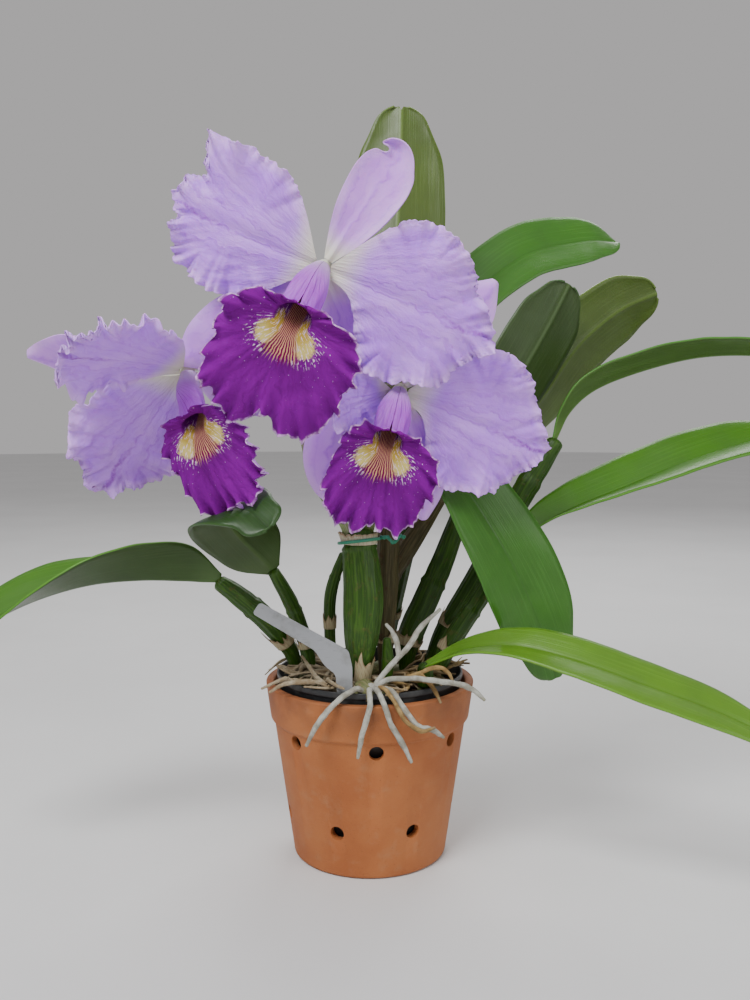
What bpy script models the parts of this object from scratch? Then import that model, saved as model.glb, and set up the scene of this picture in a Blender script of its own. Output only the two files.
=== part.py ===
"""A cattleya orchid in bloom, in bark, in a plastic pot that stands inside a clay pot.

The lengths in the tables are millimetres, and MM turns them into metres where a mesh is made.
The origin is the centre of the clay pot's flat base, +Z is up, and the flowers face -Y.
"""

import math
import random

import bmesh
import bpy
from mathutils import Vector

MM = 0.001
GAP = 0.35  # the space left between two pieces that touch

# The clay pot, and the plastic pot inside it
POT_BASE_RADIUS = 44.0
POT_COLLAR_HEIGHT = 80.0
POT_BELOW_COLLAR_RADIUS = 55.2
POT_COLLAR_RADIUS = 57.2
POT_RIM_RADIUS = 60.0
POT_RIM_HEIGHT = 101.0
POT_WALL = 5.0
POT_FLOOR = 6.0
POT_SIDES = 36
VENT_RADIUS = 4.0
VENT_HEIGHTS = (26.0, 74.0)
VENTS_IN_A_RING = 7
VENT_TURN = 360 / VENTS_IN_A_RING
UPPER_VENT_START = 4.0  # degrees from the front
DRAIN_RADIUS = 3.5
DRAIN_RING_RADIUS = 26.0
DRAINS = 5
HOLE_SIDES = 8
CUTTER_LENGTH = 30.0
LINER_RIM_HEIGHT = 106.0
LINER_RIM_RADIUS = 53.6
LINER_BASE_RADIUS = 38.0
LINER_WALL = 1.2
BARK_HEIGHT = 93.0
BARK_RINGS = 8
BARK_SIDES = 32
BARK_CHIPS = 26
BARK_REACH = 42.0
CLEAR_OF_RHIZOME = 6.5

# The creeping stem that the bulbs stand on
RHIZOME_RADIUS = 5.0
RHIZOME_HEIGHT = 98.7
BULB_FOOT = RHIZOME_HEIGHT + RHIZOME_RADIUS + GAP + 0.2
RHIZOME_RUNS = (
    ((-43, 5), (-34, -4), (-22, 0), (-13, -16), (-5, -33), (-2, -46.2)),
    ((-5, -33), (10, -7), (21, 7), (35, 13), (38, -8), (31, -26)),
    ((21, 7), (9, 27), (-7, 15)),
    ((-5, -33), (2, -34), (9, -33)),
)

# Each bulb: points on its centre line from foot to top, and its radius at each
BULBS = {
    "bulb_lead": (
        ((-5, -36, BULB_FOOT), (-5, -36, 118), (-4, -36, 136), (-3, -34, 153), (-4, -32, 170),
         (-6, -30, 187)),
        (4.2, 6.2, 9.4, 10.4, 9.8, 8.0),
    ),
    "bulb_thin": (((-22, 0, BULB_FOOT), (-23, -2, 130), (-22, -6, 152), (-15, -11, 174)),
        (3.0, 3.2, 3.4, 2.4)),
    "bulb_stalk": (
        ((9, -8, BULB_FOOT), (9, -8, 130), (10, -9, 160), (11, -9, 195), (11, -8, 232)),
        (3.6, 5.0, 6.4, 5.6, 4.2),
    ),
    "bulb_middle": (
        ((21, 7, BULB_FOOT), (23, 7, 122), (33, 9, 145), (44, 12, 170), (58, 21, 207)),
        (4.0, 7.0, 7.2, 6.2, 4.2),
    ),
    "bulb_arching": (
        ((35, 13, BULB_FOOT), (44, 13, 126), (64, 13, 160), (89, 14, 206), (108, 15, 236)),
        (3.6, 5.0, 5.8, 6.6, 5.0),
    ),
    "bulb_right": (((38, -8, BULB_FOOT), (45, -8, 121), (60, -7, 145), (75, -4, 168)),
        (3.6, 5.2, 5.4, 4.2)),
    "bulb_stub": (((31, -26, BULB_FOOT), (31, -27, 114)), (4.6, 4.2)),
    "bulb_left_low": (
        ((-43, 5, BULB_FOOT), (-47, 3, 117), (-60, -4, 136), (-74, -10, 150), (-84, -12, 158)),
        (3.6, 4.6, 6.2, 5.6, 4.6),
    ),
    "bulb_left_high": (((-34, -4, BULB_FOOT), (-37, -4, 122), (-44, -11, 145), (-53, -22, 166)),
        (3.4, 4.2, 4.2, 3.4)),
    "bulb_back_tall": (((9, 27, BULB_FOOT), (13, 28, 135), (22, 27, 180), (29, 25, 220)),
        (3.6, 5.6, 6.4, 4.2)),
    "bulb_back": (
        ((-7, 15, BULB_FOOT), (-5.5, 15, 123), (6, 15, 148), (21, 14, 173), (40, 12, 203)),
        (3.6, 4.8, 5.6, 6.0, 4.2),
    ),
    "new_shoot": (((9, -33, BULB_FOOT), (10, -34, 118), (9.5, -35, 131)), (2.6, 3.4, 2.2)),
}

# Each leaf: points on its midrib, half width, which way its upper face looks at the foot and
# at the tip, and how many degrees each half is folded up at the foot and at the tip
LEAVES = {
    "leaf_upright": (
        ((-2.5, -29, 188.7), (1, -26, 238), (10, -15, 295), (15, -2, 348), (17, 8, 392), (18, 16, 427)),
        27, (0.2, 1, 0.1), (0, 0.95, 0.2), 22, 6,
    ),
    "leaf_upper_right": (
        ((29, 25, 221), (40, 37, 265), (56, 50, 316), (92, 64, 350), (128, 73, 361), (158, 79, 364)),
        23, (-0.6, -0.75, 0.2), (-0.1, -0.8, 0.6), 20, 8,
    ),
    "leaf_olive": (
        ((58.8, 21.6, 208.7), (82, 33, 236), (106, 44, 265), (128, 52, 295), (154, 58, 317),
         (178, 61, 328)),
        24, (-0.4, 0.85, 0.3), (-0.25, 0.9, 0.3), 18, 8,
    ),
    "leaf_shaded": (
        ((40, 12, 204), (62, 16, 236), (83, 20, 268), (103, 24, 302), (117, 27, 329)),
        23, (-0.4, 0.9, 0.2), (-0.3, 0.9, 0.1), 18, 8,
    ),
    "leaf_arching": (
        ((108, 15, 237), (116, 17, 254), (132, 20, 268), (160, 22, 279), (194, 24, 287),
         (229, 25, 288), (263, 26, 283)),
        17, (-0.75, 0.5, 0.4), (0.1, 0.15, 1), 34, 24,
    ),
    "leaf_right": (
        ((75, -4, 169), (93, 2, 186), (118, 8, 199), (150, 14, 211), (186, 19, 225), (222, 24, 236),
         (253, 27, 243)),
        22, (-0.5, -0.35, 0.8), (-0.1, -0.55, 0.85), 40, 18,
    ),
    "leaf_drooping": (
        ((11, -8, 233), (27, -19, 237), (47, -33, 219), (65, -37, 193), (80, -34, 167),
         (92, -29, 141), (104, -22, 106)),
        25, (0.1, -0.3, 0.95), (0.15, -0.98, 0.1), 26, 8,
    ),
    "leaf_low_right": (
        ((31, -28, 115), (52, -40, 127), (76, -54, 132), (104, -66, 128), (138, -78, 118),
         (172, -88, 107), (208, -96, 91)),
        16, (0, -0.45, 0.9), (0.1, -0.5, 0.85), 24, 10,
    ),
    "leaf_low_left": (
        ((-84, -12, 159), (-104, -17, 161), (-128, -21, 162), (-154, -25, 160), (-180, -28, 153),
         (-205, -30, 142), (-228, -31, 128)),
        28, (0.1, 0.7, 0.7), (-0.1, -0.6, 0.8), 50, 20,
    ),
    "leaf_curled_left": (
        ((-53, -22, 167), (-61, -30, 177), (-69, -41, 188), (-73, -54, 198), (-70, -68, 205),
         (-59, -82, 206), (-48, -93, 199)),
        22, (-0.3, 0.85, 0.3), (-0.35, -0.5, 0.8), 20, 8,
    ),
}
LEAF_OUTLINE = (0.17, 0.42, 0.72, 0.92, 1.0, 0.98, 0.82, 0.16)  # half width as a share, foot to tip
BROAD_FOOT_OUTLINE = (0.2, 0.75, 0.92, 1.0, 0.97, 0.86, 0.62, 0.1)
BROAD_FOOT_LEAVES = ("leaf_low_left", "leaf_curled_left")
LEAF_THICKNESS = 1.2
PETAL_THICKNESS = 0.8

# Each flower: its centre, the way it faces, and how far its top is turned clockwise
FLOWERS = {
    "top": ((-22, -90, 322), (-0.12, -0.97, -0.2), 22),
    "right": ((15, -70, 264), (-0.05, -0.97, -0.22), 22),
    "left": ((-92, -60, 274), (0, -0.6, -0.8), -105),
}
TEPAL_START = 3.9  # from the flower's axis, just clear of the end of its stalk
SEPAL_OUTLINE = (2, 7.5, 11.5, 13.8, 14, 10.5, 2)
PETAL_LEFT_OUTLINE = ((3, 15, 27, 30, 29, 24, 3), (3, 22, 34, 36, 38, 29, 4))
PETAL_RIGHT_OUTLINE = ((3, 22, 36, 38, 33, 18, 3), (3, 9, 34, 38, 34, 28, 4))
HOOD_OUTLINE = ((3, 8, 12, 12, 10, 7, 3), (3, 12, 16, 17, 15, 11, 4))
PETAL_RUFFLES = 3.0
SEPAL_LIFT = -2.4  # sepals are set this far behind the petals

# Each tepal: clock angle from the flower's top, bend of that angle towards the tip, lean
# forwards at the foot and at the tip in degrees, length, width as a share, and ruffle height
TEPALS = {
    "top": {
        "dorsal_sepal": (15, -4, -10, -22, 70, 1.0, 0.0),
        "sepal_left": (-146, 4, 2, -8, 80, 1.0, 0.0),
        "sepal_right": (143, 4, -10, -22, 76, 1.0, 0.0),
        "petal_left": (-90, 4, 6, -16, 75, 1.0, 3.0),
        "petal_right": (90, 4, 8, -14, 84, 1.0, 3.0),
    },
    "right": {
        "dorsal_sepal": (21, 0, -14, -20, 70, 1.0, 0.0),
        "sepal_left": (-124, -115, -4, 4, 74, 0.75, 0.0),
        "sepal_right": (143, 6, -4, -5, 60, 0.9, 0.0),
        "petal_left": (-124, -10, 25, 65, 40, 1.0, 1.5),
        "petal_right": (90, 4, 2, -14, 78, 1.0, 3.0),
    },
    "left": {
        "dorsal_sepal": (10, 0, -8, -12, 84, 1.3, 0.0),
        "sepal_left": (-110, 0, 0, -10, 52, 0.8, 0.0),
        "sepal_right": (178, 0, -22, -28, 44, 0.8, 0.0),
        "petal_left": (-36, 0, 16, 20, 88, 0.8, 3.0),
        "petal_right": (57, -4, 20, 22, 80, 0.72, 3.0),
    },
}

# The lip: a tube round the column that opens into a frilled limb
LIP_TUBE_START = 1.9
LIP_FOOT_RADIUS = 4.4
LIP_THROAT_RADIUS = 9.5
LIP_REACH = (50, 57, 52, 42, 30, 19, 13, 11)  # from the throat, every 24 degrees from the mid-lobe
LIP_SLIT = 12.0  # degrees left open on each side of the top
LIP_TUBE_SHARE = 0.4
LIP_DROOP = 0.0036
LIP_FRILLS = 7
LIP_FRILL_HEIGHT = 2.2

# Each lip: how far its throat is forwards and down, its turn, the way its limb faces, the
# limb's turn, size and width as a share
LIPS = {
    "top": (28.8, 22.0, 182, (-0.12, -0.97, -0.2), 204, 0.98, 0.93),
    "right": (25.2, 19.3, 173, (-0.05, -0.97, -0.22), 195, 0.84, 0.8),
    "left": (23.5, 5.0, 190, (-0.33, -0.92, -0.1), 155, 0.95, 0.6),
}

# The flower stalk from the top of the lead bulb, and its three branches
STALK = ((-11.5, -32, 187.6), (-15, -32.5, 195.5), (-22.5, -35, 206), (-30, -40, 221), (-35, -46, 245))
STALK_BRANCHES = {
    "top": ((-35, -46, 243), (-37, -50, 262), (-37, -54, 280), (-33, -62, 300), (-27, -72, 315)),
    "right": ((-35, -46, 245), (-24, -47, 256), (-8, -47, 264), (5, -50, 267)),
    "left": ((-35, -46, 245), (-50, -40, 266), (-70, -34, 286), (-88, -38, 292)),
}
STALK_RADIUS = 2.3
BRANCH_RADIUS = 1.7

# Roots: points on each centre line
WHITE_ROOTS = (
    ((1, -49, 106), (6, -46, 113), (14, -45, 122), (22, -45, 131), (27, -43, 139), (38, -41, 149)),
    ((2, -48, 107), (10, -47, 112), (26, -49, 113), (43, -53, 112), (53, -56, 110), (60, -61, 105)),
    ((2, -50, 107), (4, -54, 108.6), (8, -62, 102), (12, -64, 92), (18, -62.5, 81), (22, -61.5, 72)),
    ((0, -50, 107), (0, -56, 108.4), (0, -62.6, 101), (-4, -62.5, 86), (-6, -61, 74)),
    ((-2, -49, 106), (-8, -54, 108.6), (-19, -60.5, 102), (-27, -61, 92), (-33, -59, 80)),
    ((2, -49, 107), (11, -55, 108.6), (18, -61.6, 101), (25, -62.5, 92), (33, -61, 89), (39, -57.5, 84)),
    ((16, -45, 124), (14, -42.5, 134), (9, -42, 141)),
)
DRY_ROOTS_LEFT = (
    ((-8.2, -40.8, 99.5), (-20, -43, 106), (-30, -41, 109.5), (-42, -37, 109), (-47, -39, 110),
     (-58, -43, 106)),
    ((-30, -41, 109), (-45, -44, 109), (-53, -50, 106)),
    ((-20, -43, 106), (-27, -37, 109), (-33, -27, 113), (-38, -16, 117)),
)
DRY_ROOTS_RIGHT = (
    ((11, -41, 104), (17, -41, 110), (27, -41, 114), (36, -40, 117), (42, -42, 115), (45, -45, 110)),
    ((27, -41, 114), (34, -45, 107), (38, -49, 100)),
)
ROOT_RADIUS = 1.5
DRY_ROOT_RADIUS = 1.2
ROOT_SIDES = 6
STEM_SIDES = 8
ROOT_CROWN = ((-1, -45.2, 105.6), (0, -47.4, 107.2), (1, -49.6, 108.8))  # where the white roots meet

# The green wire tie, the papery sheath and the blank label
TIE_RADIUS = 11.0
TIE_WIRE = 0.9
TIE_STEPS = 25
TIE_CLOSED_SHARE = 0.96
TIE_TAIL = ((4, -1, 1), (8, -1, -2), (11, 0, 1), (14, 0, 1))
TIE_PLACE = 0.97  # as a share of the lead bulb's length
SHEATH_HEIGHTS = (179.0, 187.5)
SHEATH_RADIUS = 9.4
SHEATH_WALL = 0.7
LABEL_OUTLINE = (
    (-58, 154), (-11, 128), (-9, 119), (-9, 101), (-17, 101), (-18, 115), (-24, 120), (-29, 128),
    (-62, 148),
)
LABEL_Y = -47.6
LABEL_THICKNESS = 1.0


def clear_scene():
    """Removes whatever the scene holds."""
    for old in list(bpy.data.objects):
        bpy.data.objects.remove(old, do_unlink=True)


def new_collection(name):
    """A collection linked to the scene."""
    made = bpy.data.collections.new(name)
    bpy.context.scene.collection.children.link(made)
    return made


def paint(name, colour, roughness):
    """A plain material."""
    made = bpy.data.materials.new(name)
    made.use_nodes = True
    shader = made.node_tree.nodes["Principled BSDF"]
    shader.inputs["Base Color"].default_value = (*colour, 1)
    shader.inputs["Roughness"].default_value = roughness
    shader.inputs["Metallic"].default_value = 0.0
    return made


def add(name, data, finish, home):
    """A named object with its own material."""
    made = bpy.data.objects.new(name, data)
    if finish:
        data.materials.append(finish)
    home.objects.link(made)
    return made


def move_to(thing, name, home):
    """Names an object and puts it in one collection."""
    thing.name = name
    for other in list(thing.users_collection):
        other.objects.unlink(thing)
    home.objects.link(thing)


def along(points, share):
    """The value at a share from 0 to 1 of a smooth curve through evenly counted points."""
    spans = len(points) - 1
    first = min(int(share * spans), spans - 1)
    t = share * spans - first
    start, end = points[first], points[first + 1]
    before = points[first - 1] if first > 0 else start * 2 - end
    after = points[first + 2] if first + 2 <= spans else end * 2 - start
    bend = before * 2 - start * 5 + end * 4 - after
    twist = start * 3 - before - end * 3 + after
    return (start * 2 + (end - before) * t + bend * t * t + twist * t * t * t) * 0.5


def smooth_step(low, high, value):
    """0 below low, 1 above high, and an even rise between them."""
    share = max(0.0, min(1.0, (value - low) / (high - low)))
    return share * share * (3 - 2 * share)


def baked(source, name, finish, home):
    """A mesh object with the source's shape as its modifiers leave it. The source is removed."""
    source.name = name + "_source"
    source.data.name = name + "_source"
    bpy.context.view_layer.update()
    graph = bpy.context.evaluated_depsgraph_get()
    mesh = bpy.data.meshes.new_from_object(source.evaluated_get(graph))
    mesh.materials.clear()
    weld = bmesh.new()
    weld.from_mesh(mesh)
    bmesh.ops.remove_doubles(weld, verts=weld.verts, dist=0.00001)
    bmesh.ops.recalc_face_normals(weld, faces=weld.faces)
    weld.to_mesh(mesh)
    weld.free()
    made = add(name, mesh, finish, home)
    made.matrix_world = source.matrix_world
    bpy.data.objects.remove(source, do_unlink=True)
    return made


def shade_smooth(thing, angle=40):
    """Smooth shading that keeps edges sharper than the angle."""
    thing.data.shade_smooth()
    thing.data.set_sharp_from_angle(angle=math.radians(angle))


def rod(name, points, radii, sides, finish, home, steps=None):
    """A tube with closed ends through the points, with a radius at each."""
    curve = bpy.data.curves.new(name, "CURVE")
    curve.dimensions = "3D"
    curve.bevel_depth = MM
    curve.bevel_resolution = sides // 2 - 2
    curve.use_fill_caps = True
    spline = curve.splines.new("POLY")
    spots = [Vector(point) for point in points]
    steps = steps or 2 * (len(spots) - 1)
    spline.points.add(steps)
    for index, point in enumerate(spline.points):
        share = index / steps
        point.co = (*(along(spots, share) * MM), 1)
        point.radius = along(radii, share)
    return add(name, curve, finish, home)


def fused(name, pieces, finish, home):
    """One solid from pieces that overlap."""
    others = new_collection(name + "_pieces")
    for piece in pieces[1:]:
        others.objects.link(piece)
        home.objects.unlink(piece)
    union = pieces[0].modifiers.new("Union", "BOOLEAN")
    union.operation = "UNION"
    union.operand_type = "COLLECTION"
    union.collection = others
    union.solver = "EXACT"
    made = baked(pieces[0], name, finish, home)
    for piece in list(others.objects):
        bpy.data.objects.remove(piece, do_unlink=True)
    bpy.data.collections.remove(others)
    return made


def turned(name, profile, sides, finish, home):
    """A solid from a closed or axis-to-axis profile of (radius, height), turned about Z."""
    mesh = bpy.data.meshes.new(name)
    line = bmesh.new()
    spots = [line.verts.new((radius * MM, 0, height * MM)) for radius, height in profile]
    for start, end in zip(spots, spots[1:]):
        line.edges.new((start, end))
    line.to_mesh(mesh)
    line.free()
    made = add(name, mesh, None, home)
    screw = made.modifiers.new("Turn", "SCREW")
    screw.steps = sides
    screw.render_steps = sides
    screw.use_merge_vertices = True
    screw.merge_threshold = 0.00001
    return baked(made, name, finish, home)


def blade(name, place, rows, columns, thickness, finish, home):
    """A thin solid on the surface place(u, v), with u along it and v across it from -1 to 1."""
    mesh = bpy.data.meshes.new(name)
    grid = bmesh.new()
    bmesh.ops.create_grid(grid, x_segments=rows, y_segments=columns, size=1.0)
    for spot in grid.verts:
        spot.co = place((spot.co.x + 1) / 2, spot.co.y) * MM
    grid.to_mesh(mesh)
    grid.free()
    made = add(name, mesh, finish, home)
    split = made.modifiers.new("Split", "TRIANGULATE")
    split.quad_method = "FIXED"
    skin = made.modifiers.new("Thickness", "SOLIDIFY")
    skin.thickness = thickness * MM
    skin.offset = 0
    made.data.shade_smooth()
    return made


def pot_profile():
    """The clay pot's section, down the outside and up the inside."""
    inside_rim = POT_RIM_RADIUS - POT_WALL
    inside_base = POT_BASE_RADIUS - POT_WALL + 0.6
    return (
        (0, POT_FLOOR), (inside_base, POT_FLOOR), (inside_rim, POT_RIM_HEIGHT - 1),
        (inside_rim + 1, POT_RIM_HEIGHT), (POT_RIM_RADIUS - 1, POT_RIM_HEIGHT),
        (POT_RIM_RADIUS, POT_RIM_HEIGHT - 1), (POT_COLLAR_RADIUS, POT_COLLAR_HEIGHT),
        (POT_BELOW_COLLAR_RADIUS, POT_COLLAR_HEIGHT - 1.5), (POT_BASE_RADIUS, 1.5),
        (POT_BASE_RADIUS - 1.5, 0), (0, 0),
    )


def hole_cutter(radius, place, rotation, home):
    """A long cylinder that cuts one hole."""
    bpy.ops.mesh.primitive_cylinder_add(
        vertices=HOLE_SIDES, radius=radius * MM, depth=CUTTER_LENGTH * MM, location=place, rotation=rotation
    )
    bpy.context.object.display_type = "WIRE"
    move_to(bpy.context.object, "hole_cutter", home)


def clay_pot(home):
    """The tapered clay pot with two rings of vents and drain holes in its floor."""
    pot = turned("clay_pot", pot_profile(), POT_SIDES, None, home)
    holes = new_collection("cutters")
    holes.hide_render = True
    middle = POT_RIM_RADIUS - POT_WALL
    for ring, height in enumerate(VENT_HEIGHTS):
        for index in range(VENTS_IN_A_RING):
            turn = math.radians(UPPER_VENT_START + VENT_TURN * (index + (0 if ring else 0.5)) - 90)
            place = (middle * math.cos(turn) * MM, middle * math.sin(turn) * MM, height * MM)
            hole_cutter(VENT_RADIUS, place, (0, math.pi / 2, turn), holes)
    for index in range(DRAINS):
        turn = math.tau * index / DRAINS
        place = (DRAIN_RING_RADIUS * math.cos(turn) * MM, DRAIN_RING_RADIUS * math.sin(turn) * MM, 0)
        hole_cutter(DRAIN_RADIUS, place, (0, 0, 0), holes)
    cut = pot.modifiers.new("Holes", "BOOLEAN")
    cut.operation = "DIFFERENCE"
    cut.operand_type = "COLLECTION"
    cut.collection = holes
    cut.solver = "EXACT"
    made = baked(pot, "clay_pot", paint("terracotta", (0.62, 0.22, 0.08), 0.8), home)
    shade_smooth(made)
    for hole in list(holes.objects):
        bpy.data.objects.remove(hole, do_unlink=True)
    bpy.data.collections.remove(holes)
    return made


def liner_radius(height):
    """The plastic pot's outer radius at a height."""
    rise = (height - POT_FLOOR) / (LINER_RIM_HEIGHT - POT_FLOOR)
    return LINER_BASE_RADIUS + (LINER_RIM_RADIUS - LINER_BASE_RADIUS) * rise


def plastic_pot(home):
    """The thin plastic pot that holds the bark, standing on the clay pot's floor."""
    foot = POT_FLOOR + GAP
    inner = foot + LINER_WALL
    top = LINER_RIM_HEIGHT
    profile = (
        (0, inner), (liner_radius(inner) - LINER_WALL, inner), (LINER_RIM_RADIUS - LINER_WALL, top),
        (LINER_RIM_RADIUS, top), (LINER_RIM_RADIUS, top - 3), (liner_radius(top - 4), top - 4),
        (liner_radius(foot), foot), (0, foot),
    )
    made = turned("inner_pot", profile, POT_SIDES, paint("dark_plastic", (0.05, 0.055, 0.06), 0.4), home)
    shade_smooth(made)
    return made


def distance_to_rhizome(x, y):
    """How far a spot on the bark is from the nearest run of the creeping stem."""
    spot = Vector((x, y))
    nearest = 1000.0
    for run in RHIZOME_RUNS:
        for start, end in zip(run, run[1:]):
            start, end = Vector(start), Vector(end)
            span = end - start
            share = max(0.0, min(1.0, (spot - start).dot(span) / span.length_squared))
            nearest = min(nearest, (spot - start - span * share).length)
    return nearest


def bark_medium(home):
    """The bark that fills the plastic pot, with loose chips standing out of its top."""
    foot = POT_FLOOR + LINER_WALL + 2 * GAP
    base_radius = liner_radius(foot) - LINER_WALL - GAP - 0.2
    top_radius = liner_radius(BARK_HEIGHT) - LINER_WALL - GAP - 0.2
    rings = [(top_radius * ring / BARK_RINGS, BARK_HEIGHT) for ring in range(BARK_RINGS + 1)]
    finish = paint("bark", (0.09, 0.05, 0.03), 0.9)
    body = turned("bark_body", (*rings, (base_radius, foot), (0, foot)), BARK_SIDES, None, home)
    for spot in body.data.vertices:
        x, y, z = spot.co / MM
        if z > BARK_HEIGHT - 1:
            relief = 1.5 * math.sin(x * 0.31 + 1) * math.sin(y * 0.37) + 1.0 * math.sin(x * 0.7 - y * 0.5)
            spot.co.z += relief * smooth_step(6, 10, distance_to_rhizome(x, y)) * MM
    draw = random.Random(11)
    chips = [body]
    while len(chips) <= BARK_CHIPS:
        reach = BARK_REACH * math.sqrt(draw.random())
        turn = draw.random() * math.tau
        x, y = reach * math.cos(turn), reach * math.sin(turn)
        size = (draw.uniform(5, 9), draw.uniform(4, 6), draw.uniform(3, 5))
        tilt = (draw.uniform(-0.35, 0.35), draw.uniform(-0.35, 0.35), draw.random() * math.tau)
        if distance_to_rhizome(x, y) < CLEAR_OF_RHIZOME + size[0] / 2:
            continue
        bpy.ops.mesh.primitive_cube_add(
            size=1, location=(x * MM, y * MM, (BARK_HEIGHT + 1.2) * MM), rotation=tilt
        )
        chip = bpy.context.object
        chip.scale = (size[0] * MM, size[1] * MM, size[2] * MM)
        move_to(chip, "chip", home)
        chips.append(chip)
    return fused("bark_medium", chips, finish, home)


def tubes(name, routes, radius, finish, home, extra=()):
    """Several tubes that share a start, as one solid. Each narrows to a rounded tip."""
    pieces = list(extra)
    for route in routes:
        radii = [radius] * (len(route) - 1) + [radius * 0.55]
        source = rod(name + "_run", route, radii, ROOT_SIDES, None, home)
        pieces.append(baked(source, name + "_run", None, home))
    made = fused(name, pieces, finish, home)
    made.data.shade_smooth()
    return made


def rhizome(home):
    """The creeping stem, in three runs that meet."""
    routes = [[(x, y, RHIZOME_HEIGHT) for x, y in run] for run in RHIZOME_RUNS]
    pieces = []
    for route in routes:
        source = rod("rhizome_run", route, [RHIZOME_RADIUS] * len(route), STEM_SIDES, None, home)
        pieces.append(baked(source, "rhizome_run", None, home))
    made = fused("rhizome", pieces, paint("rhizome_green", (0.2, 0.24, 0.09), 0.6), home)
    made.data.shade_smooth()
    return made


def bulbs(home):
    """The swollen stems, each on its own spot of the creeping stem."""
    green = paint("bulb_green", (0.12, 0.2, 0.05), 0.5)
    for name, (points, radii) in BULBS.items():
        rod(name, points, radii, STEM_SIDES, green, home)


def leaf(name, shape, finish, home):
    """One strap-shaped leaf, folded along its midrib."""
    points, half_width, face_foot, face_tip, fold_foot, fold_tip = shape
    spots = [Vector(point) for point in points]
    face_foot, face_tip = Vector(face_foot), Vector(face_tip)
    outline = BROAD_FOOT_OUTLINE if name in BROAD_FOOT_LEAVES else LEAF_OUTLINE

    def place(u, v):
        point = along(spots, u)
        ahead = along(spots, min(1, u + 0.01)) - along(spots, max(0, u - 0.01))
        face = face_foot.lerp(face_tip, u)
        side = ahead.cross(face).normalized()
        up = side.cross(ahead).normalized()
        fold = math.radians(fold_foot + (fold_tip - fold_foot) * u)
        reach = half_width * along(outline, u) * v
        rounded = math.sqrt(reach * reach + 4) - 2
        return point + side * reach * math.cos(fold) + up * rounded * math.sin(fold)

    return blade(name, place, 10, 4, LEAF_THICKNESS, finish, home)


class FlowerFrame:
    """A flower's centre, the way it faces, and its own up and right as a viewer sees it."""

    def __init__(self, centre, facing, roll):
        self.centre = Vector(centre)
        self.facing = Vector(facing).normalized()
        level = Vector((0, 0, 1))
        level = (level - self.facing * level.dot(self.facing)).normalized()
        across = level.cross(self.facing)
        turn = math.radians(roll)
        self.up = level * math.cos(turn) + across * math.sin(turn)
        self.right = self.up.cross(self.facing)

    def clock(self, angle):
        """The direction at a clock angle in degrees from the flower's top."""
        turn = math.radians(angle)
        return self.up * math.cos(turn) + self.right * math.sin(turn)


def tepal_place(frame, shape, outline_before, outline_after, lift):
    """The surface of a sepal or petal, as a function of u and v."""
    clock, sickle, lean_foot, lean_tip, length, width, ruffle = shape
    steps = 24
    spine = [frame.centre + frame.clock(clock) * TEPAL_START + frame.facing * lift]
    for index in range(steps):
        share = (index + 0.5) / steps
        lean = math.radians(lean_foot + (lean_tip - lean_foot) * share)
        outward = frame.clock(clock + sickle * share)
        step = outward * math.cos(lean) + frame.facing * math.sin(lean)
        spine.append(spine[-1] + step * (length / steps))

    def place(u, v):
        lean = math.radians(lean_foot + (lean_tip - lean_foot) * u)
        angle = clock + sickle * u
        side = frame.clock(angle + 90)
        normal = frame.facing * math.cos(lean) - frame.clock(angle) * math.sin(lean)
        outline = outline_after if v > 0 else outline_before
        reach = along(outline, u) * v * width
        wave = math.sin(math.tau * PETAL_RUFFLES * u + (0.8 if v > 0 else 2.6))
        height = ruffle * wave * abs(v) ** 2 * smooth_step(0.1, 0.6, u)
        return along(spine, u) + side * reach + normal * height

    return place


def tepals(flower, frame, petal_finish, sepal_finish, home):
    """The three sepals and two petals of one flower."""
    for part, shape in TEPALS[flower].items():
        name = f"{flower}_flower_{part}"
        if "sepal" in part:
            place = tepal_place(frame, shape, SEPAL_OUTLINE, SEPAL_OUTLINE, SEPAL_LIFT)
            blade(name, place, 8, 4, PETAL_THICKNESS, sepal_finish, home)
            continue
        before, after = PETAL_LEFT_OUTLINE if part == "petal_left" else PETAL_RIGHT_OUTLINE
        if name == "right_flower_petal_left":
            before, after = HOOD_OUTLINE
        place = tepal_place(frame, shape, before, after, 0)
        blade(name, place, 9, 6, PETAL_THICKNESS, petal_finish, home)


def lip_centre(flower, frame, share):
    """The middle of the lip's tube at a share of its length."""
    throat_forward, throat_drop, turn = LIPS[flower][:3]
    forward = LIP_TUBE_START + (throat_forward - LIP_TUBE_START) * share
    down = 1.2 + (throat_drop - 1.2) * share ** 1.4
    return frame.centre + frame.facing * forward + frame.clock(turn) * down


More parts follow.
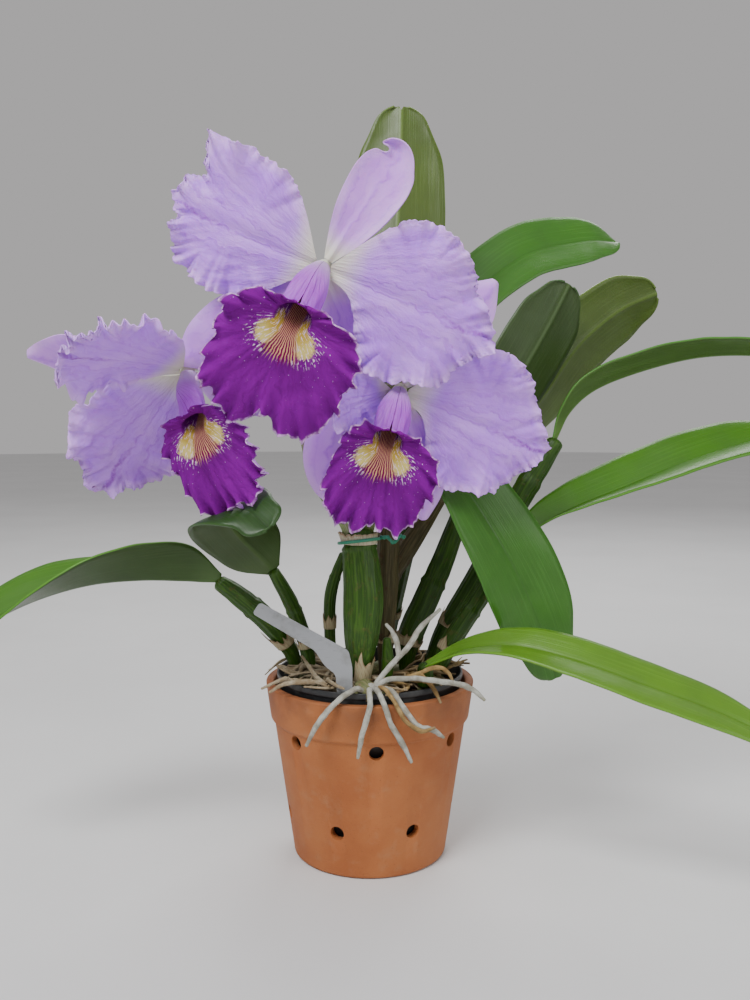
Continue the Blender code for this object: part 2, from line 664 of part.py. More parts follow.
def lip(flower, frame, finish, home):
    """The lip: a tube with a slit along its top, spread at its mouth into a frilled limb."""
    tube_turn, limb_facing, limb_turn, size, width = LIPS[flower][2:]
    throat = lip_centre(flower, frame, 1)
    limb = FlowerFrame(throat, limb_facing, 0)
    throat_radius = LIP_THROAT_RADIUS * size

    def place(u, v):
        turn = (180 - LIP_SLIT) * v
        tube_side = frame.clock(tube_turn - turn)
        limb_side = limb.clock(limb_turn - turn)
        if u < LIP_TUBE_SHARE:
            share = u / LIP_TUBE_SHARE
            radius = LIP_FOOT_RADIUS + (throat_radius - LIP_FOOT_RADIUS) * share
            return lip_centre(flower, frame, share) + tube_side.lerp(limb_side, share) * radius
        share = (u - LIP_TUBE_SHARE) / (1 - LIP_TUBE_SHARE)
        limit = along(LIP_REACH, min(1.0, abs(v) * (180 - LIP_SLIT) / 168)) * size
        radius = throat_radius + (limit - throat_radius) * share
        ahead = math.cos(math.radians(turn)) * radius
        aside = math.sin(math.radians(turn)) * radius * (1 + (width - 1) * share)
        flare = 5 * math.sin(math.pi * min(1.0, share * 1.2) * 0.5)
        frill = LIP_FRILL_HEIGHT * math.sin(LIP_FRILLS * math.radians(turn)) * share ** 2
        height = flare + frill - LIP_DROOP * radius * radius
        middle, across = limb.clock(limb_turn), limb.clock(limb_turn - 90)
        return throat + middle * ahead + across * aside + limb.facing * height

    return blade(f"{flower}_flower_lip", place, 8, 22, PETAL_THICKNESS, finish, home)


def column(flower, frame, finish, home):
    """The column inside the lip's tube."""
    drop = frame.clock(LIPS[flower][2])
    foot = frame.centre + frame.facing * LIP_TUBE_START + drop * 1.2
    points = [foot]
    for share in (0.25, 0.5, 0.75):
        points.append(lip_centre(flower, frame, share) - drop * 1.0)
    rod(f"{flower}_flower_column", points, [2.4, 2.7, 3.4, 3.0], STEM_SIDES, finish, home)


def flower_stalk(frames, home):
    """The stalk from the lead bulb and its three branches, each flared where the flower sits."""
    finish = paint("stalk_green", (0.25, 0.3, 0.12), 0.5)
    source = rod("stalk", STALK, [STALK_RADIUS] * len(STALK), STEM_SIDES, None, home)
    pieces = [baked(source, "stalk", None, home)]
    for flower, route in STALK_BRANCHES.items():
        frame = frames[flower]
        flare = [frame.centre - frame.facing * back for back in (12, 6, -1)]
        points = [Vector(point) for point in route] + flare
        radii = [BRANCH_RADIUS] * len(route) + [STALK_RADIUS, TEPAL_START - GAP, TEPAL_START - GAP]
        source = rod("branch", points, radii, STEM_SIDES, None, home)
        pieces.append(baked(source, "branch", None, home))
    made = fused("flower_stalk", pieces, finish, home)
    made.data.shade_smooth()
    return made


def lead_top():
    """A spot on the lead bulb's centre line at the height of the tie, and the way the line runs."""
    points = [Vector(point) for point in BULBS["bulb_lead"][0]]
    spot = along(points, TIE_PLACE)
    return spot, (points[-1] - points[-2]).normalized()


def wire_tie(home):
    """A ring of wire round the sheath, with a twisted tail."""
    spot, rise = lead_top()
    side = Vector((1, 0, 0)).cross(rise).normalized()
    front = rise.cross(side)
    ring = []
    for index in range(TIE_STEPS):
        turn = math.tau * index / TIE_STEPS * TIE_CLOSED_SHARE
        ring.append(spot + (front * math.cos(turn) + side * math.sin(turn)) * TIE_RADIUS)
    tail = [ring[0] + Vector(step) for step in TIE_TAIL]
    points = tail[::-1] + ring
    finish = paint("tie_green", (0.03, 0.25, 0.14), 0.5)
    rod("wire_tie", points, [TIE_WIRE] * len(points), 6, finish, home, steps=len(points) - 1)


def bulb_sheath(home):
    """The papery collar round the top of the lead bulb."""
    low, high = SHEATH_HEIGHTS
    outer = SHEATH_RADIUS + SHEATH_WALL
    profile = ((SHEATH_RADIUS, low), (SHEATH_RADIUS, high), (outer, high), (outer, low),
    (SHEATH_RADIUS, low))
    mesh = turned("sheath_ring", profile, 20, None, home)
    points = [Vector(point) for point in BULBS["bulb_lead"][0]]
    start, end = points[-2], points[-1]
    for spot in mesh.data.vertices:
        height = spot.co.z / MM
        centre = start + (end - start) * ((height - start.z) / (end.z - start.z))
        spot.co.x += centre.x * MM
        spot.co.y += centre.y * MM
    return baked(mesh, "bulb_sheath", paint("sheath_cream", (0.6, 0.55, 0.38), 0.8), home)


def plant_label(home):
    """A blank plastic label stuck between the bulbs."""
    curve = bpy.data.curves.new("plant_label", "CURVE")
    curve.dimensions = "2D"
    curve.fill_mode = "BOTH"
    curve.extrude = LABEL_THICKNESS / 2 * MM
    spline = curve.splines.new("POLY")
    spline.points.add(len(LABEL_OUTLINE) - 1)
    for point, (x, z) in zip(spline.points, LABEL_OUTLINE):
        point.co = (x * MM, z * MM, 0, 1)
    spline.use_cyclic_u = True
    made = add("plant_label", curve, paint("label_white", (0.8, 0.8, 0.78), 0.4), home)
    made.rotation_euler = (math.pi / 2, 0, 0)
    made.location = (0, LABEL_Y * MM, 0)
    return made


def main():
    clear_scene()
    home = new_collection("cattleya_orchid")
    clay_pot(home)
    plastic_pot(home)
    bark_medium(home)
    rhizome(home)
    bulbs(home)
    leaf_green = paint("leaf_green", (0.08, 0.2, 0.03), 0.45)
    for name, shape in LEAVES.items():
        leaf(name, shape, leaf_green, home)
    frames = {flower: FlowerFrame(*values) for flower, values in FLOWERS.items()}
    petal = paint("petal_lavender", (0.55, 0.36, 0.75), 0.6)
    sepal = paint("sepal_lavender", (0.6, 0.4, 0.7), 0.6)
    limb = paint("lip_purple", (0.25, 0.0, 0.3), 0.5)
    pale = paint("column_pale", (0.7, 0.5, 0.75), 0.5)
    for flower, frame in frames.items():
        tepals(flower, frame, petal, sepal, home)
        lip(flower, frame, limb, home)
        column(flower, frame, pale, home)
    flower_stalk(frames, home)
    wire_tie(home)
    bulb_sheath(home)
    plant_label(home)
    crown = rod("crown", ROOT_CROWN, (3.4, 3.2, 2.4), STEM_SIDES, None, home)
    crown = baked(crown, "crown", None, home)
    white = paint("root_white", (0.75, 0.74, 0.68), 0.7)
    tubes("white_roots", WHITE_ROOTS, ROOT_RADIUS, white, home, [crown])
    dry = paint("root_dry", (0.45, 0.33, 0.18), 0.8)
    tubes("dry_roots_left", DRY_ROOTS_LEFT, DRY_ROOT_RADIUS, dry, home)
    tubes("dry_roots_right", DRY_ROOTS_RIGHT, DRY_ROOT_RADIUS, dry, home)


main()
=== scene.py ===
"""Finished looks of a cattleya orchid in bloom, in bark, in a vented clay pot.

The tables hold millimetres, and MM turns them into metres where a mesh is made. The origin is
the centre of the pot's flat base, +Z is up, and the flowers face -Y.
"""

import logging
import math
import random
from collections.abc import Callable
from dataclasses import dataclass
from enum import Enum
from functools import partialmethod

import bmesh
import bpy
import numpy as np
from mathutils import Matrix, Vector, noise


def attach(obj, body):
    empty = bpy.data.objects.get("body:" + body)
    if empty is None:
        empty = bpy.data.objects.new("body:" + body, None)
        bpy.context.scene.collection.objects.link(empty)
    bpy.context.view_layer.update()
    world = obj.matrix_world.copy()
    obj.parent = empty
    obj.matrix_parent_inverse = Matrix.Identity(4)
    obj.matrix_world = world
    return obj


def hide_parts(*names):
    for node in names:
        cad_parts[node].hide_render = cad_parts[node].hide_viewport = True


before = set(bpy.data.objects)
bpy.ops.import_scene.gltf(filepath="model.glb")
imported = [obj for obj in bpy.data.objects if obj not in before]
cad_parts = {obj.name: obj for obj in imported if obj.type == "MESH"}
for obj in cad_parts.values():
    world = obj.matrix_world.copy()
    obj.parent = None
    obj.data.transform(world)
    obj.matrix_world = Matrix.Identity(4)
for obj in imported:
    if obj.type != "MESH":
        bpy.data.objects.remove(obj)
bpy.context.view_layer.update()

MM = 0.001
LOG = logging.getLogger("cattleya")
Point = tuple[float, float, float]
Colour = tuple[float, float, float]
Outline = tuple[float, ...]
Material = bpy.types.Material
Mesh = bpy.types.Mesh
Piece = bpy.types.Object
SEED_STEPS = (7.31, 3.17, 5.73)  # how far apart the random fields of two seeds lie
VEIN_FOOT = 14.0  # how far behind a tepal's foot its veins meet, in millimetres
CAP_TURNS = (0.45, 0.9, 1.25)  # where a tube's rounded end has its rings, in radians


def smooth_step(low: float, high: float, value: np.ndarray) -> np.ndarray:
    """An even rise from 0 at low to 1 at high."""
    share = np.clip((np.asarray(value, float) - low) / (high - low), 0, 1)
    return share * share * (3 - 2 * share)


def hump(distance: np.ndarray, width: float) -> np.ndarray:
    """A smooth bump that is 1 where the distance is 0."""
    return np.exp(-((distance / width) ** 2))


def unit(vectors: np.ndarray) -> np.ndarray:
    """Vectors at length one."""
    vectors = np.asarray(vectors, float)
    return vectors / np.maximum(np.linalg.norm(vectors, axis=-1, keepdims=True), 1e-9)


def spots(*coordinates: np.ndarray) -> np.ndarray:
    """Places from their coordinates, spread to one shape."""
    return np.stack(np.broadcast_arrays(*coordinates), axis=-1)


def length_of(points: object) -> float:
    """The length of a line through points."""
    return float(np.linalg.norm(np.diff(np.array(points), axis=0), axis=1).sum())


def even_turns(count: int) -> np.ndarray:
    """Angles that go once round, in radians."""
    return np.linspace(0, math.tau, count, endpoint=False)


def along(points: object, share: object) -> np.ndarray:
    """Values on a smooth curve through evenly counted points.

    Args:
        points: The values or places that the curve goes through.
        share: How far along it to read, from 0 to 1.

    Returns:
        One value or place for each share.
    """
    points = np.asarray(points, float)
    share = np.asarray(share, float)
    spans = len(points) - 1
    first = np.clip((share * spans).astype(int), 0, spans - 1)
    t = share * spans - first
    padded = np.concatenate([[2 * points[0] - points[1]], points, [2 * points[-1] - points[-2]]])
    before, start, end, after = (padded[first + step] for step in range(4))
    if points.ndim > 1:
        t = t[..., None]
    bend = before * 2 - start * 5 + end * 4 - after
    twist = start * 3 - before - end * 3 + after
    return (start * 2 + (end - before) * t + bend * t ** 2 + twist * t ** 3) * 0.5


def ahead_of(points: object, share: np.ndarray) -> np.ndarray:
    """Steps along the curve through points, at shares of its length."""
    return along(points, np.minimum(1, share + 0.01)) - along(points, np.maximum(0, share - 0.01))


def drift(places: np.ndarray, seed: float) -> np.ndarray:
    """Smooth random values between about -1 and 1.

    Args:
        places: Coordinates in which the values change over a distance of about 1.
        seed: Which of the random fields is read.

    Returns:
        One value for each place.
    """
    flat = places.reshape(-1, places.shape[-1])
    lifted = np.zeros((len(flat), 3))
    lifted[:, : flat.shape[1]] = flat
    lifted += tuple(seed * step for step in SEED_STEPS)
    values = np.array([noise.noise(Vector(spot)) for spot in lifted])
    return values.reshape(places.shape[:-1])


def drift_line(lengths: np.ndarray, seed: float) -> np.ndarray:
    """Smooth random values along a line, between about -1 and 1."""
    lengths = np.asarray(lengths, float)
    return drift(spots(lengths, lengths * 0.37), seed)


def ripple(walk: np.ndarray, period: float, sway: float, spread: float, seed: float) -> np.ndarray:
    """The phase of a wave along a margin, in radians.

    Args:
        walk: How far along the margin each spot is, in millimetres.
        period: The wave's length in millimetres.
        sway: How far its phase wanders, in radians.
        spread: Over how many millimetres it wanders.
        seed: Which random wandering it gets.

    Returns:
        The phase at each spot.
    """
    return math.tau * walk / period + sway * drift_line(walk / spread, seed)


def made_mesh(work: bmesh.types.BMesh, name: str) -> Mesh:
    """A mesh from the work, which is then freed.

    Args:
        work: The finished work.
        name: The mesh's name.

    Returns:
        The mesh.
    """
    mesh = bpy.data.meshes.new(name)
    work.to_mesh(mesh)
    work.free()
    return mesh


def grid_mesh(name: str, points: np.ndarray, notes: dict[str, np.ndarray], ring: bool = False) -> Mesh:
    """A smooth mesh on a grid of points.

    Args:
        name: The mesh's name.
        points: Places in millimetres, shaped rows by columns by 3.
        notes: Values stored at each point, for the materials, with 1 or 3 numbers a point.
        ring: Whether the last column joins the first, with both ends then capped.

    Returns:
        The mesh, in metres.
    """
    rows, columns = points.shape[:2]
    index = np.arange(rows * columns).reshape(rows, columns)
    if ring:
        index = np.concatenate([index, index[:, :1]], axis=1)
    quads = np.stack([index[:-1, :-1], index[:-1, 1:], index[1:, 1:], index[1:, :-1]], axis=-1)
    faces = quads.reshape(-1, 4).tolist()
    if ring:
        faces += [index[0, :-1][::-1].tolist(), index[-1, :-1].tolist()]
    mesh = bpy.data.meshes.new(name)
    mesh.from_pydata((points.reshape(-1, 3) * MM).tolist(), [], faces)
    for label, values in notes.items():
        flat = np.broadcast_to(values, points.shape[:2] + values.shape[2:])
        flat = np.ascontiguousarray(flat, np.float32)
        kind, field = ("FLOAT_VECTOR", "vector") if flat.ndim == 3 else ("FLOAT", "value")
        mesh.attributes.new(label, kind, "POINT").data.foreach_set(field, flat.reshape(-1))
    mesh.shade_smooth()
    mesh.update()
    return mesh


def joined_mesh(name: str, meshes: list[Mesh]) -> Mesh:
    """One mesh from several, with each part kept where it is. The parts are removed.

    Args:
        name: The mesh's name.
        meshes: The parts.

    Returns:
        The whole mesh.
    """
    whole = bmesh.new()
    for part in meshes:
        whole.from_mesh(part)
        bpy.data.meshes.remove(part)
    return made_mesh(whole, name)


def place_piece(name: str, mesh: Mesh, looks: list[Material], node: str) -> Piece:
    """Puts a finished piece in the scene in place of the solid that it stands for.

    Args:
        name: The piece's name.
        mesh: Its mesh, in the frame's own place.
        looks: Its materials, in slot order.
        node: The solid that it replaces.

    Returns:
        The piece.
    """
    piece = bpy.data.objects.new(name, mesh)
    bpy.context.scene.collection.objects.link(piece)
    for look in looks:
        mesh.materials.append(look)
    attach(piece, "root")
    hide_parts(node)
    LOG.info("%s: %d faces", name, len(mesh.polygons))
    return piece


def thicken(piece: Piece, thickness: float, two_sided: bool = False) -> None:
    """Gives a sheet its thickness.

    Args:
        piece: The sheet.
        thickness: In millimetres, half on each side.
        two_sided: Whether the back takes the piece's second material.
    """
    skin = piece.modifiers.new("Thickness", "SOLIDIFY")
    skin.thickness = thickness * MM
    skin.offset = 0
    skin.material_offset = 1 if two_sided else 0


def soften_edges(piece: Piece, width: float) -> bpy.types.Modifier:
    """A bevel on a piece's sharp edges, as wide as given in millimetres.

    Args:
        piece: The piece.
        width: The bevel's width in millimetres.

    Returns:
        The modifier.
    """
    soften = piece.modifiers.new("Soften", "BEVEL")
    soften.width = width * MM
    soften.segments = 2
    soften.limit_method = "ANGLE"
    return soften


def tube_mesh(
    name: str, route: np.ndarray, radii: np.ndarray, sides: int, ribs: np.ndarray | None = None
) -> Mesh:
    """A tube round a route, with rounded ends.

    Args:
        name: The mesh's name.
        route: Points on its centre line, in millimetres.
        radii: Its radius at each point.
        sides: How many faces go round it.
        ribs: A share to add to the radius at each point and side, or None.

    Returns:
        The mesh, with "tube" holding the way round, the way along and the radius in millimetres.
    """
    ahead = unit(np.gradient(route, axis=0))
    side = np.zeros_like(route)
    start = np.cross(ahead[0], (0, 0, 1.0) if abs(ahead[0][2]) < 0.9 else (0, 1.0, 0))
    for index, way in enumerate(ahead):
        start = start - way * start.dot(way)
        start = start / np.linalg.norm(start)
        side[index] = start
    across = np.cross(ahead, side)
    turns = even_turns(sides)
    ring = side[:, None] * np.cos(turns)[None, :, None] + across[:, None] * np.sin(turns)[None, :, None]
    reach = np.broadcast_to(radii[:, None], (len(route), sides)).copy()
    if ribs is not None:
        reach *= 1 + ribs
    points = route[:, None] + ring * reach[..., None]
    caps = []
    for end, outward in ((0, -1), (-1, 1)):
        for turn in CAP_TURNS:
            rim = ring[end] * reach[end][:, None] * math.cos(turn)
            caps.append(route[end] + rim + outward * ahead[end] * radii[end] * 0.6 * math.sin(turn))
    points = np.concatenate([np.array(caps[2::-1]), points, np.array(caps[3:])])
    steps = np.concatenate([[0], np.cumsum(np.linalg.norm(np.diff(route, axis=0), axis=1))])
    steps, sizes = (np.concatenate([[line[0]] * 3, line, [line[-1]] * 3]) for line in (steps, radii))
    note = spots(turns[None, :], steps[:, None], sizes[:, None])
    return grid_mesh(name, points, {"tube": note}, ring=True)


class Value:
    """A node's output. Plain sums on it add maths nodes."""

    def __init__(self, sheet: "NodeSheet", socket: bpy.types.NodeSocket) -> None:
        """Keeps the output and the sheet that it is on."""
        self.sheet, self.socket = sheet, socket

    def worked(self, operation: str, other: object = 0.0) -> "Value":
        """The result of one operation on this value and another."""
        return self.sheet.math(operation, self, other)

    def __rsub__(self, other: float) -> "Value":
        """A plain number less this value."""
        return self.sheet.math("SUBTRACT", other, self)

    __add__ = __radd__ = partialmethod(worked, "ADD")
    __mul__ = __rmul__ = partialmethod(worked, "MULTIPLY")
    __sub__ = partialmethod(worked, "SUBTRACT")
    __truediv__ = partialmethod(worked, "DIVIDE")
    __pow__ = partialmethod(worked, "POWER")
    __abs__ = partialmethod(worked, "ABSOLUTE")

    def rise(self, low: object, high: object, start: float = 0.0, end: float = 1.0) -> "Value":
        """A smooth change from start at low to end at high."""
        inputs = {"Value": self, "From Min": low, "From Max": high, "To Min": start, "To Max": end}
        return self.sheet.node("ShaderNodeMapRange", inputs, interpolation_type="SMOOTHSTEP")

    def fall(self, low: object, high: object) -> "Value":
        """A smooth fall from 1 at low to 0 at high."""
        return self.rise(low, high, 1.0, 0.0)


class NodeSheet:
    """Adds and joins the shader nodes of one material or group."""

    def __init__(self, tree: bpy.types.NodeTree) -> None:
        """Keeps the tree that is filled."""
        self.tree = tree

    def feed(self, socket: bpy.types.NodeSocket, value: object) -> None:
        """Links an output to the socket, or sets the socket to a plain value.

        Args:
            socket: The input.
            value: An output or a plain value.
        """
        if isinstance(value, Value):
            self.tree.links.new(value.socket, socket)
        elif isinstance(value, tuple) and socket.type == "RGBA":
            socket.default_value = (*value, 1.0)
        else:
            socket.default_value = value

    def node(self, kind: str, inputs: dict[object, object], output: object = 0, **settings: object) -> Value:
        """One output of a new node.

        Args:
            kind: The node's type.
            inputs: What feeds each input, by its name or number.
            output: The output's name or number.
            settings: The node's own settings, made before its inputs are fed.

        Returns:
            The output.
        """
        made = self.tree.nodes.new(kind)
        for key, value in settings.items():
            setattr(made, key, value)
        for key, value in inputs.items():
            self.feed(made.inputs[key], value)
        return Value(self, made.outputs[output])

    def math(self, operation: str, first: object, second: object = 0.0) -> Value:
        """The result of one operation on two values."""
        return self.node("ShaderNodeMath", {0: first, 1: second}, operation=operation)

    def stretch(self, place: Value, by: Point) -> Value:
        """A place multiplied along each axis."""
        return self.node("ShaderNodeVectorMath", {0: place, 1: by}, operation="MULTIPLY")

    def split(self, place: Value) -> list[Value]:
        """The three numbers of a vector."""
        first = self.node("ShaderNodeSeparateXYZ", {0: place})
        return [Value(self, socket) for socket in first.socket.node.outputs]

    def build(self, x: object, y: object, z: object = 0.0) -> Value:
        """A vector from three numbers."""
        return self.node("ShaderNodeCombineXYZ", {0: x, 1: y, 2: z})

    def grain(self, place: Value, scale: object, detail: float = 2.0, rough: float = 0.5) -> Value:
        """A soft random value from 0 to 1."""
        inputs = {"Vector": place, "Scale": scale, "Detail": detail, "Roughness": rough}
        return self.node("ShaderNodeTexNoise", inputs, "Fac")

    def mix(self, share: object, first: object, second: object) -> Value:
        """One colour laid over another by a share."""
        return self.node("ShaderNodeMix", {"Factor": share, 6: first, 7: second}, 2, data_type="RGBA")

    def layers(self, base: object, *coats: tuple[Value, object]) -> Value:
        """A base colour under coats of colour, each with its own share.

        Args:
            base: The lowest colour.
            coats: A share and a colour for each coat.

        Returns:
            The colour.
        """
        for share, colour in coats:
            base = self.mix(share, base, colour)
        return base

    def note(self, name: str, output: str = "Fac") -> Value:
        """A value that the mesh stores at its points."""
        return self.node("ShaderNodeAttribute", {}, output, attribute_name=name)

    def place(self) -> Value:
        """The spot on the piece, in millimetres."""
        return self.stretch(self.node("ShaderNodeTexCoord", {}, "Object"), (1000.0, 1000.0, 1000.0))

    def use(self, group: bpy.types.NodeTree, **given: object) -> Value:
        """The output of a shared group, with its inputs set by name."""
        inputs = {key.title(): value for key, value in given.items()}
        return self.node("ShaderNodeGroup", inputs, node_tree=group)


class Look(NodeSheet):
    """A material's nodes round its Principled shader."""

    def __init__(self, name: str, **constants: float) -> None:
        """Starts the material, with constants set on the shader's sockets.

        Args:
            name: The material's name.
            constants: Values by socket name, with _ for a space.
        """
        self.material = bpy.data.materials.new(name)
        self.material.use_nodes = True
        super().__init__(self.material.node_tree)
        self.put(**constants)

    def put(self, **values: object) -> None:
        """Feeds or sets the shader's inputs, named with _ for a space."""
        for key, value in values.items():
            self.feed(self.tree.nodes["Principled BSDF"].inputs[key.replace("_", " ")], value)

    def bumps(self, height: Value, depth: float, strength: float) -> None:
        """Feeds a height to the shader's normal.

        Args:
            height: The height, from 0 to 1.
            depth: What a height of 1 stands for, in millimetres.
            strength: How strongly it shows.
        """
        inputs = {"Strength": strength, "Distance": depth * MM, "Height": height}
        self.put(Normal=self.node("ShaderNodeBump", inputs, "Normal"))


class Effects:
    """Shader groups that several materials share, each built once."""

    VECTORS = ("Flat", "Place")

    def __init__(self) -> None:
        """Builds the groups."""
        self.veins = self.group(self.fan_of_veins, "Mask", "Flat", "Count", "Behind", "Waver", "Width")
        self.rim = self.group(self.uneven_margin, "Mask", "Edge", "Place", "Width", "Feather")
        self.mottle = self.group(self.soft_mottling, "Mask", "Place", "Scale", "Low", "High")
        self.crumple = self.group(self.crepe_folds, "Height", "Flat", "Behind", "Folds")
        self.fibres = self.group(self.long_fibres, "Mask", "Across", "Along", "Fineness", "Stretch")

    def group(self, rule: Callable[..., Value], output: str, *inputs: str) -> bpy.types.NodeTree:
        """A group with named sockets, whose output follows a rule.

        Args:
            rule: Takes the group's sheet and then its inputs in order, and gives its output.
            output: The output's name.
            inputs: The inputs' names.

        Returns:
            The group, named after the rule.
        """
        tree = bpy.data.node_groups.new(rule.__name__, "ShaderNodeTree")
        for name in inputs:
            kind = "NodeSocketVector" if name in self.VECTORS else "NodeSocketFloat"
            tree.interface.new_socket(name=name, in_out="INPUT", socket_type=kind)
        tree.interface.new_socket(name=output, in_out="OUTPUT", socket_type="NodeSocketFloat")
        sheet = NodeSheet(tree)
        given = tree.nodes.new("NodeGroupInput").outputs
        result = rule(sheet, *(Value(sheet, given[name]) for name in inputs))
        sheet.feed(tree.nodes.new("NodeGroupOutput").inputs[output], result)
        return tree

    @staticmethod
    def fan_of_veins(
        sheet: NodeSheet, flat: Value, count: Value, behind: Value, waver: Value, width: Value
    ) -> Value:
        """Thin lines that fan out from a point behind the foot of a sheet.

        Args:
            sheet: The group's sheet.
            flat: The place on the sheet laid flat.
            count: How many veins.
            behind: How far behind the foot they meet.
            waver: How far they stray, in radians.
            width: How wide they are, from 0 to 1.

        Returns:
            The veins' mask.
        """
        x, y, _ = sheet.split(flat)
        turn = sheet.math("ARCTAN2", x, y + behind) + (sheet.grain(flat, 0.09, 3.0) - 0.5) * waver
        wide, fine = (
            sheet.math("COSINE", turn * (count * times)).rise(1.0 - width, 1.0, 0.0, weight)
            for times, weight in ((1.0, 0.62), (2.13, 0.38))
        )
        return (wide + fine) * sheet.grain(flat, 0.35, 2.0).rise(0.3, 0.6, 0.35, 1.0)

    @staticmethod
    def uneven_margin(sheet: NodeSheet, edge: Value, place: Value, width: Value, feather: Value) -> Value:
        """A band of uneven width along the margin of a sheet."""
        ragged = width * (1.0 + (sheet.grain(place, 0.55, 3.0) - 0.5) * 2.0)
        return edge.fall(ragged, ragged + feather)

    @staticmethod
    def soft_mottling(sheet: NodeSheet, place: Value, scale: Value, low: Value, high: Value) -> Value:
        """Soft patches of uneven size."""
        return sheet.grain(place, scale, 5.0, 0.6).rise(low, high)

    @staticmethod
    def crepe_folds(sheet: NodeSheet, flat: Value, behind: Value, folds: Value) -> Value:
        """The crepe-like height of a petal: short folds that run with the veins.

        Args:
            sheet: The group's sheet.
            flat: The place on the sheet laid flat.
            behind: How far behind the foot the folds meet.
            folds: How many there are in a radian.

        Returns:
            The height.
        """
        x, y, _ = sheet.split(flat)
        deep = y + behind
        turn = sheet.math("ARCTAN2", x, deep) * folds
        return sheet.grain(sheet.build(turn, deep * 0.12), 1.0, 3.0, 0.6) + sheet.grain(flat, 1.6) * 0.35

    @staticmethod
    def long_fibres(
        sheet: NodeSheet, across: Value, onward: Value, fineness: Value, stretch: Value
    ) -> Value:
        """Fine streaks that run along a stem, leaf or root."""
        return sheet.grain(sheet.build(across * fineness, onward * stretch), 1.0, 3.0, 0.55)


@dataclass(frozen=True)
class TepalFinish:
    """Lavender tissue with fanned veins, for petals, sepals and the backs of lips."""

    name: str
    body: Colour
    margin: Colour
    folds: float
    vein_count: float
    relief: float = 0.6
    deep: Colour = (0.36, 0.06, 0.74)
    claw: Colour = (0.74, 0.72, 0.62)
    flame: Colour = (0.26, 0.03, 0.5)
    streak: float = 0.0

    def dress(self, effects: Effects) -> Material:
        """The material. The mesh gives "flat", "edge" and "share".

        Args:
            effects: The shared groups.

        Returns:
            The material.
        """
        look = Look(
            self.name, Roughness=0.5, Subsurface_Weight=0.1, Subsurface_Scale=0.001, Specular_IOR_Level=0.4
        )
        flat, edge, share = look.note("flat", "Vector"), look.note("edge"), look.note("share")
        veins = look.use(
            effects.veins, flat=flat, count=self.vein_count, behind=VEIN_FOOT, waver=0.22, width=0.42
        )
        clouds = look.use(effects.mottle, place=flat, scale=0.045, low=0.35, high=0.65)
        sway = (look.grain(flat, 0.08) - 0.5) * 9.0
        streak = abs(look.split(flat)[0] + sway).fall(0.15, 1.9) * share.rise(0.5, 0.86)
        streak *= look.grain(flat, 0.5, 3.0).rise(0.35, 0.65, 0.4, 1.0)
        rim = look.use(effects.rim, edge=edge, place=flat, width=0.8, feather=5.0)
        tint = look.layers(
            self.body, (clouds * 0.35, self.margin), (veins * 0.42, self.deep),
            (streak * self.streak, self.flame), (rim * 0.55, self.margin),
            (share.fall(0.03, 0.24), self.claw),
        )
        look.put(Base_Color=tint)
        crepe = look.use(effects.crumple, flat=flat, behind=VEIN_FOOT, folds=self.folds)
        look.bumps(crepe + veins * 0.35, self.relief, 0.85)
        return look.material


